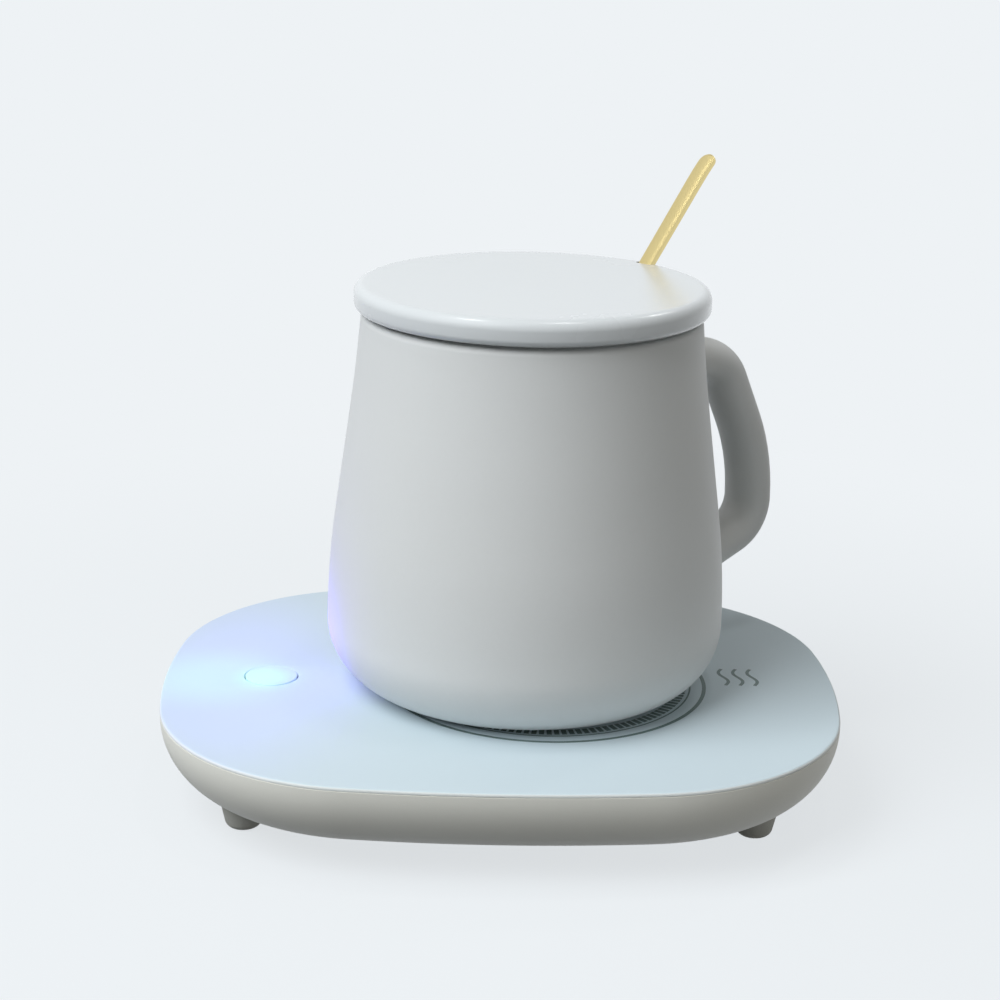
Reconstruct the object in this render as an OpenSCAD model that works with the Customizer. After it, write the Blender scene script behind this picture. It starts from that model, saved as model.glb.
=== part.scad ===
// Mug warmer set: a heated base, a lidded mug that stands on it, and a spoon.
// Millimetres, +Z up. The origin is on the table under the middle of the base.
// +X runs from the button towards the mug, and -Y faces the user.

/* [Base outline] */
// Length of the base from left to right
base_length = 156; // [150:1:168]
// Width of the base from front to back
base_width = 130; // [124:1:140]
// Height of the base's top face above the table
base_height = 23; // [22:0.5:26.5]
// Radius of the four corners
corner_radius = 53; // [50:0.5:57]

/* [Base shell] */
// Wall of the moulded shell
shell_wall = 2.2; // [1.8:0.1:2.6]
// Distance that the curved side runs in under the base
side_run = 28; // [26:0.5:30]
// Radius of the upper, tighter curve of the side
side_arc = 15; // [14:0.5:16]
// Width of the ledge that carries the seal
ledge_width = 2.6; // [2.2:0.1:3.2]
// Height of the upright edge of that ledge
ledge_edge = 1; // [0.8:0.1:1.4]

/* [Feet] */
// Height of the shell's underside above the table
foot_height = 4; // [3:0.5:5]
// Diameter of a foot
foot_d = 8.4; // [7:0.2:10]
// Distance from the outline to the middle of a foot
foot_inset = 15; // [13.5:0.5:17]
// Direction of a foot from its corner's centre, in degrees
foot_angle = 33; // [25:1:42]
// Depth of the pocket at its shallow side
foot_pocket = 0.5; // [0.4:0.1:0.9]
// Rounding of a foot's lower edge
foot_round = 1.2; // [0.6:0.1:1.6]
// Plastic around and above a foot's pocket
foot_boss_wall = 1.8; // [1.4:0.1:2.2]

/* [Top cover] */
// Height of the cover's edge that shows above the shell
cover_edge = 1.5; // [1.2:0.1:2]
// Depth of the step that drops inside the shell
cover_step = 1.1; // [0.8:0.1:1.5]
// Rounding of the cover's upper edge
cover_round = 0.6; // [0.3:0.1:0.9]
// Thickness of the seal under the step
seal_thickness = 0.8; // [0.6:0.1:1.2]
// Width of the seal
seal_width = 1.8; // [1.4:0.1:2]

/* [Housing screws] */
// Distance from the outline to a housing screw
screw_inset = 20.5; // [19:0.5:22]
// Direction of a screw from its corner's centre, in degrees
screw_angle = 62; // [58:1:68]
// Shank diameter of a housing screw
screw_d = 3; // [2.5:0.1:3.5]
// Head diameter of a housing screw
screw_head_d = 5.6; // [5:0.1:6.2]
// Head height of a housing screw
screw_head_h = 2; // [1.6:0.1:2.4]
// Length of a housing screw under its head
screw_length = 9; // [7:0.5:10]
// Depth of the head's seat above the underside
screw_recess = 4; // [3:0.5:5]
// Plastic between the head's seat and the top of the column
column_web = 3; // [2.5:0.5:4]
// Diameter of a screw column
column_d = 9; // [8.5:0.5:10]

/* [Heater] */
// Distance from the button's centre to the heater's centre
heater_pitch = 64; // [62:0.2:65]
// Radius of the aluminium heat spreader
spreader_r = 36; // [34:0.5:37]
// Thickness of the heat spreader
spreader_thickness = 2; // [1.5:0.1:2.5]
// Radius of the film heater
film_r = 33; // [30:0.5:33.5]
// Thickness of the film heater
film_thickness = 0.6; // [0.4:0.1:0.8]
// Distance that the film's terminal tab stands out
tab_length = 6; // [5:0.5:6.5]
// Width of the terminal tab
tab_width = 8; // [7:0.5:10]
// Direction of the terminal tab, in degrees
tab_angle = 198; // [194:1:202]
// Radius of the insulation pad
pad_r = 34; // [32:0.5:34.5]
// Thickness of the insulation pad
pad_thickness = 3.5; // [2.5:0.5:4]
// Radius of the clamp plate
clamp_r = 34.5; // [33:0.5:35]
// Thickness of the clamp plate
clamp_thickness = 1; // [0.8:0.1:1.2]
// Distance from the heater's centre to a clamp screw
ear_reach = 41; // [40.5:0.5:42]
// Diameter of a clamp ear and of the boss over it
ear_d = 7.6; // [7:0.2:8.4]
// Radius of the hole through the film, pad and clamp for the thermistor
sensor_hole_r = 3.4; // [3:0.2:4]
// Radius of the thermistor's bead
bead_r = 1.6; // [1.2:0.1:2]
// Length of the thermistor's bead
bead_length = 3.4; // [2.5:0.1:4]
// Diameter of the thermal fuse
fuse_d = 4; // [3.4:0.2:4.4]
// Length of the thermal fuse
fuse_length = 10; // [8:0.5:12]
// Distance from the heater's centre to the fuse, to the left
fuse_back = 24.6; // [23.6:0.2:25.6]
// Distance from the heater's centre to the fuse, to the front
fuse_side = 17; // [16:0.5:18]

/* [Control board] */
// Distance from the left end of the base to the button's centre
button_inset = 24.6; // [23:0.2:26]
// Board length from left to right
board_length = 30; // [28:0.5:31]
// Board width from front to back
board_width = 44; // [40:0.5:46]
// Board thickness
board_thickness = 1.6; // [1.2:0.2:1.6]
// Part of the board that lies left of the button
board_lead = 10; // [9:0.5:10.5]
// Height of the posts under the board
post_height = 4; // [3.5:0.25:4.5]
// Diameter of a board post
post_d = 5; // [4.4:0.2:6]
// Distance from the board's edges to its screws
post_margin = 3.6; // [3.2:0.2:4.5]
// Shank diameter of the small screws
pin_screw_d = 2; // [1.8:0.1:2.2]
// Head diameter of the small screws
pin_head_d = 3.6; // [3.4:0.1:4]
// Head height of the small screws
pin_head_h = 1.3; // [1:0.1:1.6]
// Length of a small screw under its head
pin_screw_length = 4.6; // [4:0.2:5]
// Side of the square push switch
switch_side = 6; // [5.6:0.2:6.4]
// Height of the push switch without its plunger
switch_height = 3.5; // [3:0.1:4]
// Diameter of the switch's plunger
plunger_d = 3.4; // [3:0.1:3.6]
// Height of the plunger above the switch
plunger_proud = 1; // [0.8:0.1:1.3]

/* [Button] */
// Diameter of the button
button_d = 12; // [11:0.2:13]
// Height of the button above the cover
button_proud = 0.3; // [0.2:0.1:0.6]
// Travel of the button
button_travel = 0.5; // [0.3:0.1:0.6]
// Radial gap round the button
button_gap = 0.3; // [0.25:0.05:0.5]
// Width of the flange that keeps the button in
flange_width = 1.6; // [1.2:0.1:2]
// Thickness of that flange
flange_thickness = 1.4; // [1:0.1:1.6]

/* [Power socket] */
// Distance from the shell's rim down to the socket's axis
socket_drop = 6; // [5.5:0.25:6.5]
// Width of the socket's mouth, outside
socket_width = 8.94; // [8.8:0.02:9.2]
// Height of the socket's mouth, outside
socket_height = 3.26; // [3.2:0.02:3.4]
// Depth of the socket
socket_depth = 7.3; // [6.8:0.1:8]
// Sheet thickness of the socket
socket_wall = 0.35; // [0.3:0.05:0.4]
// Distance from the outline to the socket's mouth
socket_inset = 2.6; // [2.4:0.1:3]
// Width of the recess for a plug
plug_width = 13; // [12.4:0.2:14]
// Height of the recess for a plug
plug_height = 7; // [6.6:0.2:7.4]

/* [Mug] */
// Height of the mug
mug_height = 87; // [80:1:95]
// Greatest radius of the mug, at the belly
mug_belly_r = 45.7; // [44:0.1:48]
// Radius of the rounded lower corner
mug_corner = 15.5; // [13:0.5:17]
// Radius of the curve above the belly
belly_arc = 190; // [160:5:230]
// Angle of the side against the vertical, in degrees
neck_taper = 7.6; // [7:0.1:8.4]
// Height of the straight part of the side
cone_rise = 23.4; // [20:0.2:26]
// Radius of the hollow curve under the rim
neck_arc = 230; // [200:5:260]
// Wall of the mug
mug_wall = 4.2; // [3.6:0.1:4.8]
// Outer rounding of the rim
rim_round = 2.2; // [1.6:0.1:2.4]
// Inner chamfer of the rim
rim_chamfer = 0.7; // [0.4:0.1:0.9]
// Depth of the hollow inside the foot ring
foot_hollow = 1; // [0.6:0.1:1.4]
// Width of the foot ring
foot_ring = 4; // [3:0.5:5]
// Mug's centre to the right of the heater's centre
mug_shift = -5.2; // [-8:0.2:2]
// Mug's centre behind the heater's centre
mug_y = 2.8; // [0:0.2:5]

/* [Mug handle] */
// Direction of the handle, anticlockwise from +X, in degrees
handle_angle = 37; // [30:1:42]
// Thickness of the handle, measured outwards
handle_thick = 9.5; // [8:0.5:10]
// Width of the handle
handle_width = 12; // [10:0.5:13]
// Height of the handle's upper arm on the mug
handle_top = 70.5; // [67:0.5:72]
// Straight stretch of the upper arm
handle_top_run = 13.5; // [12:0.5:14.5]
// Radius of the upper bend
handle_top_arc = 10.5; // [9.5:0.5:12]
// Turn of the upper bend, in degrees
handle_top_turn = 64; // [60:1:68]
// Straight stretch of the back
handle_back_run = 12; // [10:0.5:13]
// Radius of the bend along the back
handle_back_arc = 47; // [42:1:50]
// Radius of the lower bend
handle_low_arc = 9.5; // [8:0.5:10]
// Turn of the lower bend, in degrees
handle_low_turn = 70; // [68:1:78]

/* [Lid] */
// Radius of the lid
lid_r = 40; // [39:0.2:42]
// Radius of the lid's rounded edge, half its height
lid_bead = 3.3; // [3:0.1:3.8]
// Thickness of the lid's plate
lid_plate = 4; // [3.2:0.2:4.6]
// Depth of the collar that drops into the mug
collar_depth = 6; // [4:0.5:7]
// Wall of that collar
collar_wall = 3; // [2.4:0.2:3.6]
// Radial play of the collar in the mug
collar_play = 0.6; // [0.4:0.1:1]
// Width of the notch for the spoon
notch_width = 7; // [6.6:0.2:9]

/* [Spoon] */
// Whole length of the spoon
spoon_length = 147; // [137:1:155]
// Direction in which the spoon leans, in degrees
spoon_angle = 44.5; // [40:0.5:47]
// Lean of the spoon against the vertical, in degrees
spoon_lean = 42; // [41:0.5:43]
// Thickness of the stem
stem_thick = 1.6; // [1.2:0.1:2]
// Width of the stem at its end
stem_end = 4.6; // [4:0.1:5]
// Width of the stem at the bowl
stem_neck = 3.6; // [3:0.1:4.2]
// Length of the bowl
bowl_length = 42; // [38:1:46]
// Width of the bowl
bowl_width = 27; // [24:0.5:29]
// Thickness of the bowl's sheet
bowl_sheet = 1.2; // [0.8:0.1:1.4]
// Depth of the bowl
bowl_dish = 6.5; // [5.5:0.1:7]
// Radius of the bowl's hollow along the spoon
bowl_along_r = 46; // [44:1:55]
// Radius of the bowl's hollow across the spoon
bowl_across_r = 18; // [17:0.5:21]
// Radius of the long sides of the bowl's outline
bowl_side_r = 30; // [26:1:36]
// Length of stem that runs into the bowl
bowl_overlap = 4; // [3:0.5:6]
// Turn of the curved end of the stem, in degrees
tip_turn = 5; // [4:1:14]
// Radius of that curve
tip_arc = 60; // [45:5:70]

/* [Fits] */
// Clearance between moulded parts that drop into each other
fit_gap = 0.2; // [0.15:0.05:0.3]
// Clearance between a screw and the hole that it cuts its thread in
thread_gap = 0.05; // [0.03:0.01:0.08]
// Clearance between a spoon and the mug
spoon_gap = 0.7; // [0.5:0.1:1]
// Clearance between the stem and the sides of the lid's notch
notch_gap = 1.3; // [1:0.1:1.6]

/* [Hidden] */
$fn = 96;
cut = 1;
half_length = base_length / 2;
half_width = base_width / 2;

// Centre of a corner's arc
corner = [half_length - corner_radius, half_width - corner_radius];
CORNERS = [[-1, -1], [1, -1], [-1, 1], [1, 1]];

// Points along an arc, without its first
function arc(centre, r, from, to, n) =
    [for (i = [1 : n]) let (a = from + (to - from) * i / n) centre + r * [cos(a), sin(a)]];
function reversed(points) = [for (i = [len(points) - 1 : -1 : 0]) points[i]];
// Steps in a tight arc and in a shallow one
arc_steps = 8;
shallow_steps = 5;

// Heights above the table
rim_z = base_height - cover_edge;
floor_z = foot_height + shell_wall;
cover_under_z = rim_z - cover_step;
ledge_z = cover_under_z - seal_thickness;
spreader_z = cover_under_z - spreader_thickness;
film_z = spreader_z - film_thickness;
pad_z = film_z - pad_thickness;
clamp_z = pad_z - clamp_thickness;
board_z = floor_z + post_height;
board_top_z = board_z + board_thickness;
switch_top_z = board_top_z + switch_height;
plunger_top_z = switch_top_z + plunger_proud;
screw_seat_z = foot_height + screw_recess;
column_top_z = screw_seat_z + column_web;
socket_z = rim_z - socket_drop;
lid_z = base_height + mug_height;

// The side of the shell is two tangent arcs, upright at the rim and level at the floor.
side_drop = rim_z - foot_height;
side_turn = 90 - 2 * atan((side_drop - side_arc) / (side_run - side_arc));
floor_arc = side_arc + (side_run - side_arc) / cos(side_turn);
// Height of the shell's outside at a distance in from the outline, on the lower arc
function shell_under_z(inset) = foot_height + floor_arc - sqrt(pow(floor_arc, 2) - pow(side_run - inset, 2));

// Places in plan
button_x = button_inset - half_length;
heater_x = button_x + heater_pitch;
mug_x = heater_x + mug_shift;
board_x = button_x - board_lead;
board_end_x = board_x + board_length;
foot_z = shell_under_z(foot_inset - foot_d / 2) + foot_pocket;
function from_corner(inset, angle) = corner + (corner_radius - inset) * [cos(angle), sin(angle)];
foot_place = from_corner(foot_inset, foot_angle);
screw_place = from_corner(screw_inset, screw_angle);
board_posts = [
    for (x = [board_x + post_margin, board_end_x - post_margin], s = [-1, 1])
        [x, s * (board_width / 2 - post_margin)]
];
ear_angles = [0, 120, 240];
ear_places = [for (a = ear_angles) [heater_x + ear_reach * cos(a), ear_reach * sin(a)]];

// Power socket, at the middle of the back
socket_y = half_width - socket_inset;
socket_board_inset = 7.2;
socket_board_y = half_width - socket_board_inset;
socket_board_depth = 12;
socket_board_width = 15;
socket_board_thick = 1.2;
socket_board_top_z = socket_z - socket_height / 2;
socket_frame_depth = 2.6;
socket_posts = [for (s = [-1, 1]) [s * 5, socket_board_y - 8.4]];

// Connectors along the right edge of the board: heater, thermistor, power
connector = [6, 6.4, 4.8];
connector_pitch = 2.4;
connector_rows = [-12, 0, 12];
lead_r = 0.6;
lead_z = board_top_z + connector.z / 2;
// Height at which leads pass under the clamp's screws
low_lead_z = clamp_z - pin_head_h - 2 * lead_r;
fuse_y = -fuse_side;
fuse_x = heater_x - fuse_back;
fuse_z = clamp_z - fuse_d / 2;

// Mug, measured from its own base
belly_top = [
    mug_belly_r - belly_arc * (1 - cos(neck_taper)),
    mug_corner + belly_arc * sin(neck_taper)
];
cone_top = belly_top + [-cone_rise * tan(neck_taper), cone_rise];
neck_c = cone_top + neck_arc * [cos(neck_taper), sin(neck_taper)];
rim_cz = mug_height - rim_round;
rim_c = [neck_c.x - sqrt(pow(neck_arc + rim_round, 2) - pow(neck_c.y - rim_cz, 2)), rim_cz];
mouth_r = neck_c.x - sqrt(pow(neck_arc + mug_wall, 2) - pow(neck_c.y - mug_height, 2));
foot_flat_r = mug_belly_r - mug_corner;
foot_hollow_r = foot_flat_r - foot_ring;
belly_c = [mug_belly_r - belly_arc, mug_corner];
corner_c = [foot_flat_r, mug_corner];
rim_from = atan2(neck_c.y - rim_c.y, neck_c.x - rim_c.x);
mouth_from = asin((neck_c.y - mug_height + rim_chamfer) / (neck_arc + mug_wall));
// Half sections of the mug, from its foot up to its rim
mug_outside = concat(
    [[foot_flat_r, 0]],
    arc(corner_c, mug_corner, -90, 0, arc_steps),
    arc(belly_c, belly_arc, 0, neck_taper, shallow_steps),
    [cone_top],
    arc(neck_c, neck_arc, 180 + neck_taper, 180 + rim_from, shallow_steps),
    arc(rim_c, rim_round, rim_from, 90, shallow_steps)
);
inside_step = mug_wall * [cos(neck_taper), sin(neck_taper)];
mug_inside = concat(
    [[0, mug_wall], [foot_flat_r, mug_wall]],
    arc(corner_c, mug_corner - mug_wall, -90, 0, arc_steps),
    arc(belly_c, belly_arc - mug_wall, 0, neck_taper, shallow_steps),
    [cone_top - inside_step],
    arc(neck_c, neck_arc + mug_wall, 180 + neck_taper, 180 + mouth_from, shallow_steps),
    [[mouth_r + rim_chamfer, mug_height]]
);
mug_underside = [[0, foot_hollow], [foot_hollow_r, foot_hollow], [foot_hollow_r, 0]];

// The handle is a run of straights and bends in an upright plane through the mug's axis.
handle_root_r = rim_c.x;
back_turn = 90 - handle_top_turn;
low_heading = -90 - handle_low_turn;
handle_low_x = handle_root_r + handle_top_run + handle_top_arc * sin(handle_top_turn)
    + handle_back_run * cos(handle_top_turn) + handle_back_arc * (1 - sin(handle_top_turn))
    - handle_low_arc * (1 - cos(handle_low_turn));
handle_low_run = (handle_low_x - mug_belly_r + mug_wall / 2) / -cos(low_heading);
// Each step: length of a straight, or radius and turn of a bend
handle_steps = [
    [handle_top_run, 0],
    [handle_top_arc, handle_top_turn],
    [handle_back_run, 0],
    [handle_back_arc, back_turn],
    [handle_low_arc, handle_low_turn],
    [handle_low_run, 0]
];

// The spoon leans on the rim's inner edge, with its tip in the far lower corner of the mug.
spoon_along = [sin(spoon_lean), cos(spoon_lean)];
spoon_normal = [-cos(spoon_lean), sin(spoon_lean)];
spoon_rest = [mouth_r + rim_chamfer / 2, mug_height] + spoon_gap * spoon_normal;
far_corner = [mug_corner - mug_belly_r, mug_corner];
far_r = mug_corner - mug_wall - spoon_gap;
to_rest = spoon_rest - far_corner;
spoon_depth = to_rest * spoon_along + sqrt(pow(to_rest * spoon_along, 2) - to_rest * to_rest + far_r * far_r);
// Distance from the mug's axis of a line beside the stem, at a height above the mug's base
function stem_r(offset, z) =
    let (p = spoon_rest + offset * spoon_normal)
    p.x + (z - p.y) * tan(spoon_lean);
lid_ceiling = mug_height + 2 * lid_bead - lid_plate;
notch_r = stem_r(stem_thick + notch_gap, lid_ceiling);
collar_r = mouth_r - collar_play;
collar_cut_r = stem_r(stem_thick + notch_gap, mug_height - collar_depth);

// Sweeps a profile round the base's outline. Its x axis points outwards from the outline.
module around_base() {
    for (k = [0 : 3]) {
        odd = k % 2;
        reach = odd == 0 ? half_length : half_width;
        run = odd == 0 ? corner.y : corner.x;
        rotate(90 * k) {
            translate([reach, run, 0])
                rotate([90, 0, 0])
                    linear_extrude(2 * run)
                        children();
            translate([reach - corner_radius, run, 0])
                rotate_extrude(angle = 90)
                    translate([corner_radius, 0])
                        children();
        }
    }
}

// Sweeps a profile that reaches to the corner centres, and fills the middle between two heights.
module base_solid(z0, z1) {
    around_base()
        children();
    translate([-corner.x, -corner.y, z0])
        cube([2 * corner.x, 2 * corner.y, z1 - z0]);
}

// Half section of the shell's outside, or of its inside at a depth of one wall
module bowl_profile(depth, top) {
    low = foot_height + depth;
    polygon(concat(
        [[-depth, top], [-corner_radius, top], [-corner_radius, low], [-side_run, low]],
        arc([-side_run, foot_height + floor_arc], floor_arc - depth, -90, -side_turn, shallow_steps),
        arc([-side_arc, rim_z], side_arc - depth, -side_turn, 0, arc_steps)
    ));
}

// Edge of the ledge under the seal, with a sloping underside
module ledge_profile() {
    inner = -shell_wall - ledge_width;
    polygon([
        [-shell_wall / 2, ledge_z],
        [inner, ledge_z],
        [inner, ledge_z - ledge_edge],
        [-shell_wall / 2, ledge_z - ledge_edge - ledge_width - shell_wall / 2]
    ]);
}

module at_corners(place) {
    for (s = CORNERS)
        translate([s.x * place.x, s.y * place.y, 0])
            children();
}

module at_points(points) {
    for (p = points)
        translate(p)
            children();
}

module upright(d, z0, z1) {
    translate([0, 0, z0])
        cylinder(d = d, h = z1 - z0);
}

// Rounded slot across the width, centred on its own middle
module stadium(width, height) {
    square([width - height, height], center = true);
    for (s = [-1, 1])
        translate([s * (width - height) / 2, 0])
            circle(d = height);
}

// Slot that runs in from the back of the base at the socket's height
module socket_slot(width, height, y0, y1) {
    translate([0, y1, socket_z])
        rotate([90, 0, 0])
            linear_extrude(y1 - y0)
                stadium(width, height);
}

module base_shell() {
    frame_w = plug_width + 2 * shell_wall;
    frame_h = plug_height + 2 * shell_wall;
    frame_y = socket_y - socket_frame_depth;
    color("gainsboro")
        difference() {
            base_solid(foot_height, rim_z)
                bowl_profile(0, rim_z);
            difference() {
                base_solid(floor_z, rim_z + cut)
                    bowl_profile(shell_wall, rim_z + cut);
                around_base()
                    ledge_profile();
                at_corners(screw_place)
                    upright(column_d, foot_height, column_top_z);
                at_corners(foot_place)
                    upright(foot_d + 2 * foot_boss_wall, foot_height, foot_z + foot_boss_wall);
                at_points(board_posts)
                    upright(post_d, foot_height, board_z);
                at_points(socket_posts)
                    upright(post_d, foot_height, socket_board_top_z - socket_board_thick);
                translate([-frame_w / 2, frame_y, socket_z - frame_h / 2])
                    cube([frame_w, half_width - frame_y, frame_h / 2 + ledge_z - socket_z]);
            }
            at_corners(screw_place) {
                upright(screw_d + 2 * fit_gap, foot_height - cut, column_top_z + cut);
                upright(screw_head_d + 2 * fit_gap, foot_height - cut, screw_seat_z);
            }
            at_corners(foot_place)
                upright(foot_d + 2 * thread_gap, 0, foot_z);
            at_points(board_posts)
                upright(pin_screw_d + 2 * thread_gap, board_z - pin_screw_length, board_z + cut);
            at_points(socket_posts)
                upright(
                    pin_screw_d + 2 * thread_gap,
                    socket_board_top_z - pin_screw_length,
                    socket_board_top_z
                );
            socket_slot(socket_width + 2 * fit_gap, socket_height + 2 * fit_gap, frame_y - cut, half_width + cut);
            socket_slot(plug_width, plug_height, socket_y, half_width + cut);
        }
}

module cover_profile() {
    step_x = -shell_wall - fit_gap;
    polygon(concat(
        [[-corner_radius, base_height], [-corner_radius, cover_under_z], [step_x, cover_under_z], [step_x, rim_z]],
        [[0, rim_z], [0, base_height - cover_round]],
        arc([-cover_round, base_height - cover_round], cover_round, 0, 90, 3)
    ));
}

module top_cover() {
    color("white")
        difference() {
            union() {
                base_solid(cover_under_z, base_height)
                    cover_profile();
                at_corners(screw_place)
                    upright(column_d, column_top_z, cover_under_z + cut);
                at_points(ear_places)
                    upright(ear_d, pad_z, cover_under_z + cut);
            }
            translate([button_x, 0, 0])
                upright(button_d + 2 * button_gap, cover_under_z - cut, base_height + cut);
            at_corners(screw_place)
                upright(screw_d + 2 * thread_gap, column_top_z - cut, screw_seat_z + screw_length + fit_gap);
            at_points(ear_places)
                upright(pin_screw_d + 2 * thread_gap, pad_z - cut, clamp_z + pin_screw_length + fit_gap);
        }
}

module cover_seal() {
    color("dimgray")
        around_base()
            translate([-shell_wall - fit_gap - seal_width, ledge_z])
                square([seal_width, seal_thickness]);
}

module foot(side) {
    color("silver")
        translate([side.x * foot_place.x, side.y * foot_place.y, 0])
            rotate_extrude()
                polygon(concat(
                    [[0, 0], [foot_d / 2 - foot_round, 0]],
                    arc([foot_d / 2 - foot_round, foot_round], foot_round, -90, 0, 3),
                    [[foot_d / 2, foot_z], [0, foot_z]]
                ));
}

// Screw that points up, with its head's seat at z
module screw(d, length, head_d, head_h, z) {
    upright(head_d, z - head_h, z);
    upright(d, z - head_h / 2, z + length);
}

// Screw that points down, with its head's seat at z
module screw_down(d, length, head_d, head_h, z) {
    upright(head_d, z, z + head_h);
    upright(d, z - length, z + head_h / 2);
}

module housing_screws() {
    color("silver")
        at_corners(screw_place)
            screw(screw_d, screw_length, screw_head_d, screw_head_h, screw_seat_z);
}

module at_heater() {
    translate([heater_x, 0, 0])
        children();
}

module disc(r, z, thickness) {
    translate([0, 0, z])
        cylinder(r = r, h = thickness);
}

module heat_spreader() {
    color("lightgray")
        at_heater()
            disc(spreader_r, spreader_z, spreader_thickness);
}

module film_heater() {
    color("darkorange")
        at_heater()
            difference() {
                union() {
                    disc(film_r, film_z, film_thickness);
                    rotate(tab_angle)
                        translate([film_r - cut, -tab_width / 2, film_z])
                            cube([tab_length + cut, tab_width, film_thickness]);
                }
                upright(2 * sensor_hole_r, film_z - cut, spreader_z + cut);
            }
}

module insulation_pad() {
    color("ivory")
        at_heater()
            difference() {
                disc(pad_r, pad_z, pad_thickness);
                upright(2 * sensor_hole_r, pad_z - cut, film_z + cut);
            }
}

module heater_clamp() {
    arm_width = 0.75 * ear_d;
    clip_wall = 0.8;
    clip_length = 5;
    clip_drop = fuse_d * 0.75;
    color("lightsteelblue")
        difference() {
            union() {
                at_heater() {
                    disc(clamp_r, clamp_z, clamp_thickness);
                    for (a = ear_angles)
                        rotate(a)
                            translate([clamp_r - cut, -arm_width / 2, clamp_z])
                                cube([ear_reach - clamp_r + cut, arm_width, clamp_thickness]);
                }
                at_points(ear_places)
                    upright(ear_d, clamp_z, pad_z);
                for (s = [-1, 1])
                    translate([fuse_x + s * (fuse_d / 2 + fit_gap + clip_wall / 2), fuse_y, clamp_z])
                        translate([-clip_wall / 2, -clip_length / 2, -clip_drop])
                            cube([clip_wall, clip_length, clip_drop + clamp_thickness / 2]);
            }
            at_heater()
                upright(2 * sensor_hole_r, clamp_z - cut, pad_z + cut);
            at_points(ear_places)
                upright(pin_screw_d + 2 * fit_gap, clamp_z - cut, pad_z + cut);
        }
}

module clamp_screws() {
    color("silver")
        at_points(ear_places)
            screw(pin_screw_d, pin_screw_length, pin_head_d, pin_head_h, clamp_z);
}

module thermistor() {
    color("black")
        at_heater()
            upright(2 * bead_r, spreader_z - bead_length, spreader_z);
}

module thermal_fuse() {
    color("khaki")
        translate([fuse_x, fuse_y + fuse_length / 2, fuse_z])
            rotate([90, 0, 0])
                cylinder(d = fuse_d, h = fuse_length);
}

// A smooth curve through a lead's points
function curve_point(a, b, c, d, t) =
    0.5 * (2 * b + (c - a) * t + (2 * a - 5 * b + 4 * c - d) * t * t + (3 * b - a - 3 * c + d) * t * t * t);
function curve(points, steps) =
    let (n = len(points) - 1)
    concat(
        [
            for (i = [0 : n - 1], k = [0 : steps - 1])
                curve_point(
                    points[max(i - 1, 0)], points[i], points[i + 1], points[min(i + 2, n)], k / steps
                )
        ],
        [points[n]]
    );
// One ring of a lead, square to its curve
lead_sides = 8;
lead_steps = 3;
side_hint = [0.31, 0.53, 0.79];
function lead_ring(p, along) =
    let (t = along / norm(along), u = cross(t, side_hint) / norm(cross(t, side_hint)), v = cross(t, u))
    [
        for (k = [0 : lead_sides - 1])
            p + lead_r * (cos(k * 360 / lead_sides) * u + sin(k * 360 / lead_sides) * v)
    ];

// Closed tube through a list of rings that all have the same count of points
module tube(rings) {
    sides = len(rings[0]);
    last = len(rings) - 1;
    walls = [
        for (i = [0 : last - 1], k = [0 : sides - 1])
            let (a = i * sides + k, b = i * sides + (k + 1) % sides)
            each [[a, a + sides, b], [b, a + sides, b + sides]]
    ];
    caps = [
        [for (k = [0 : sides - 1]) k],
        [for (k = [sides - 1 : -1 : 0]) last * sides + k]
    ];
    polyhedron([for (r = rings) each r], concat(walls, caps));
}

// A lead leaves and meets its ends along its first and last stretch.
module lead(points) {
    path = curve(points, lead_steps);
    n = len(path) - 1;
    end = len(points) - 1;
    along = [
        for (i = [0 : n])
            i == 0 ? points[1] - points[0] : i == n ? points[end] - points[end - 1] : path[i + 1] - path[i - 1]
    ];
    tube([for (i = [0 : n]) lead_ring(path[i], along[i])]);
}

// Point beside a connector's face, at a distance from the face
function plug_point(row, side, away) =
    [board_end_x + away, connector_rows[row] + side * connector_pitch / 2, lead_z];

module heater_leads() {
    tab_middle = film_r + tab_length * 2 / 3;
    pads = [
        for (s = [-1, 1])
            [heater_x, 0, film_z]
                + tab_middle * [cos(tab_angle), sin(tab_angle), 0]
                + s * tab_width / 4 * [-sin(tab_angle), cos(tab_angle), 0]
    ];
    run_z = fuse_z;
    color("firebrick") {
        lead([
            pads[0],
            pads[0] - [0, 0, 1.4],
            [board_end_x + 4.4, connector_rows[0] + connector_pitch / 2, lead_z + 0.4],
            plug_point(0, 1, 2),
            plug_point(0, 1, 0)
        ]);
        lead([
            pads[1],
            pads[1] - [0, 0, 1.4],
            [pads[1].x, pads[1].y, run_z + 2],
            [pads[1].x + 2.5, pads[1].y + 1.6, run_z],
            [fuse_x - 2, fuse_y + fuse_length / 2 + 3.4, run_z],
            [fuse_x, fuse_y + fuse_length / 2 + 1.6, run_z],
            [fuse_x, fuse_y + fuse_length / 2, run_z]
        ]);
        lead([
            [fuse_x, fuse_y - fuse_length / 2, run_z],
            [fuse_x, fuse_y - fuse_length / 2 - 1.6, run_z],
            [fuse_x - 7, fuse_y - fuse_length / 2 - 4, run_z],
            [board_end_x + 6, connector_rows[0] - 6, lead_z - 1.4],
            plug_point(0, -1, 2),
            plug_point(0, -1, 0)
        ]);
    }
}

module thermistor_leads() {
    bend = 3;
    rise_x = board_end_x + 2 * connector.x;
    color("royalblue")
        for (s = [-1, 1]) {
            spread = s * bead_r * 0.56;
            lead([
                [heater_x, spread, spreader_z - bead_length],
                [heater_x, spread, clamp_z - lead_r],
                [heater_x - bend, spread, low_lead_z],
                [rise_x, spread, low_lead_z],
                plug_point(1, s, 3.4) - [0, 0, 0.6],
                plug_point(1, s, 1.6),
                plug_point(1, s, 0)
            ]);
        }
}

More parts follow.
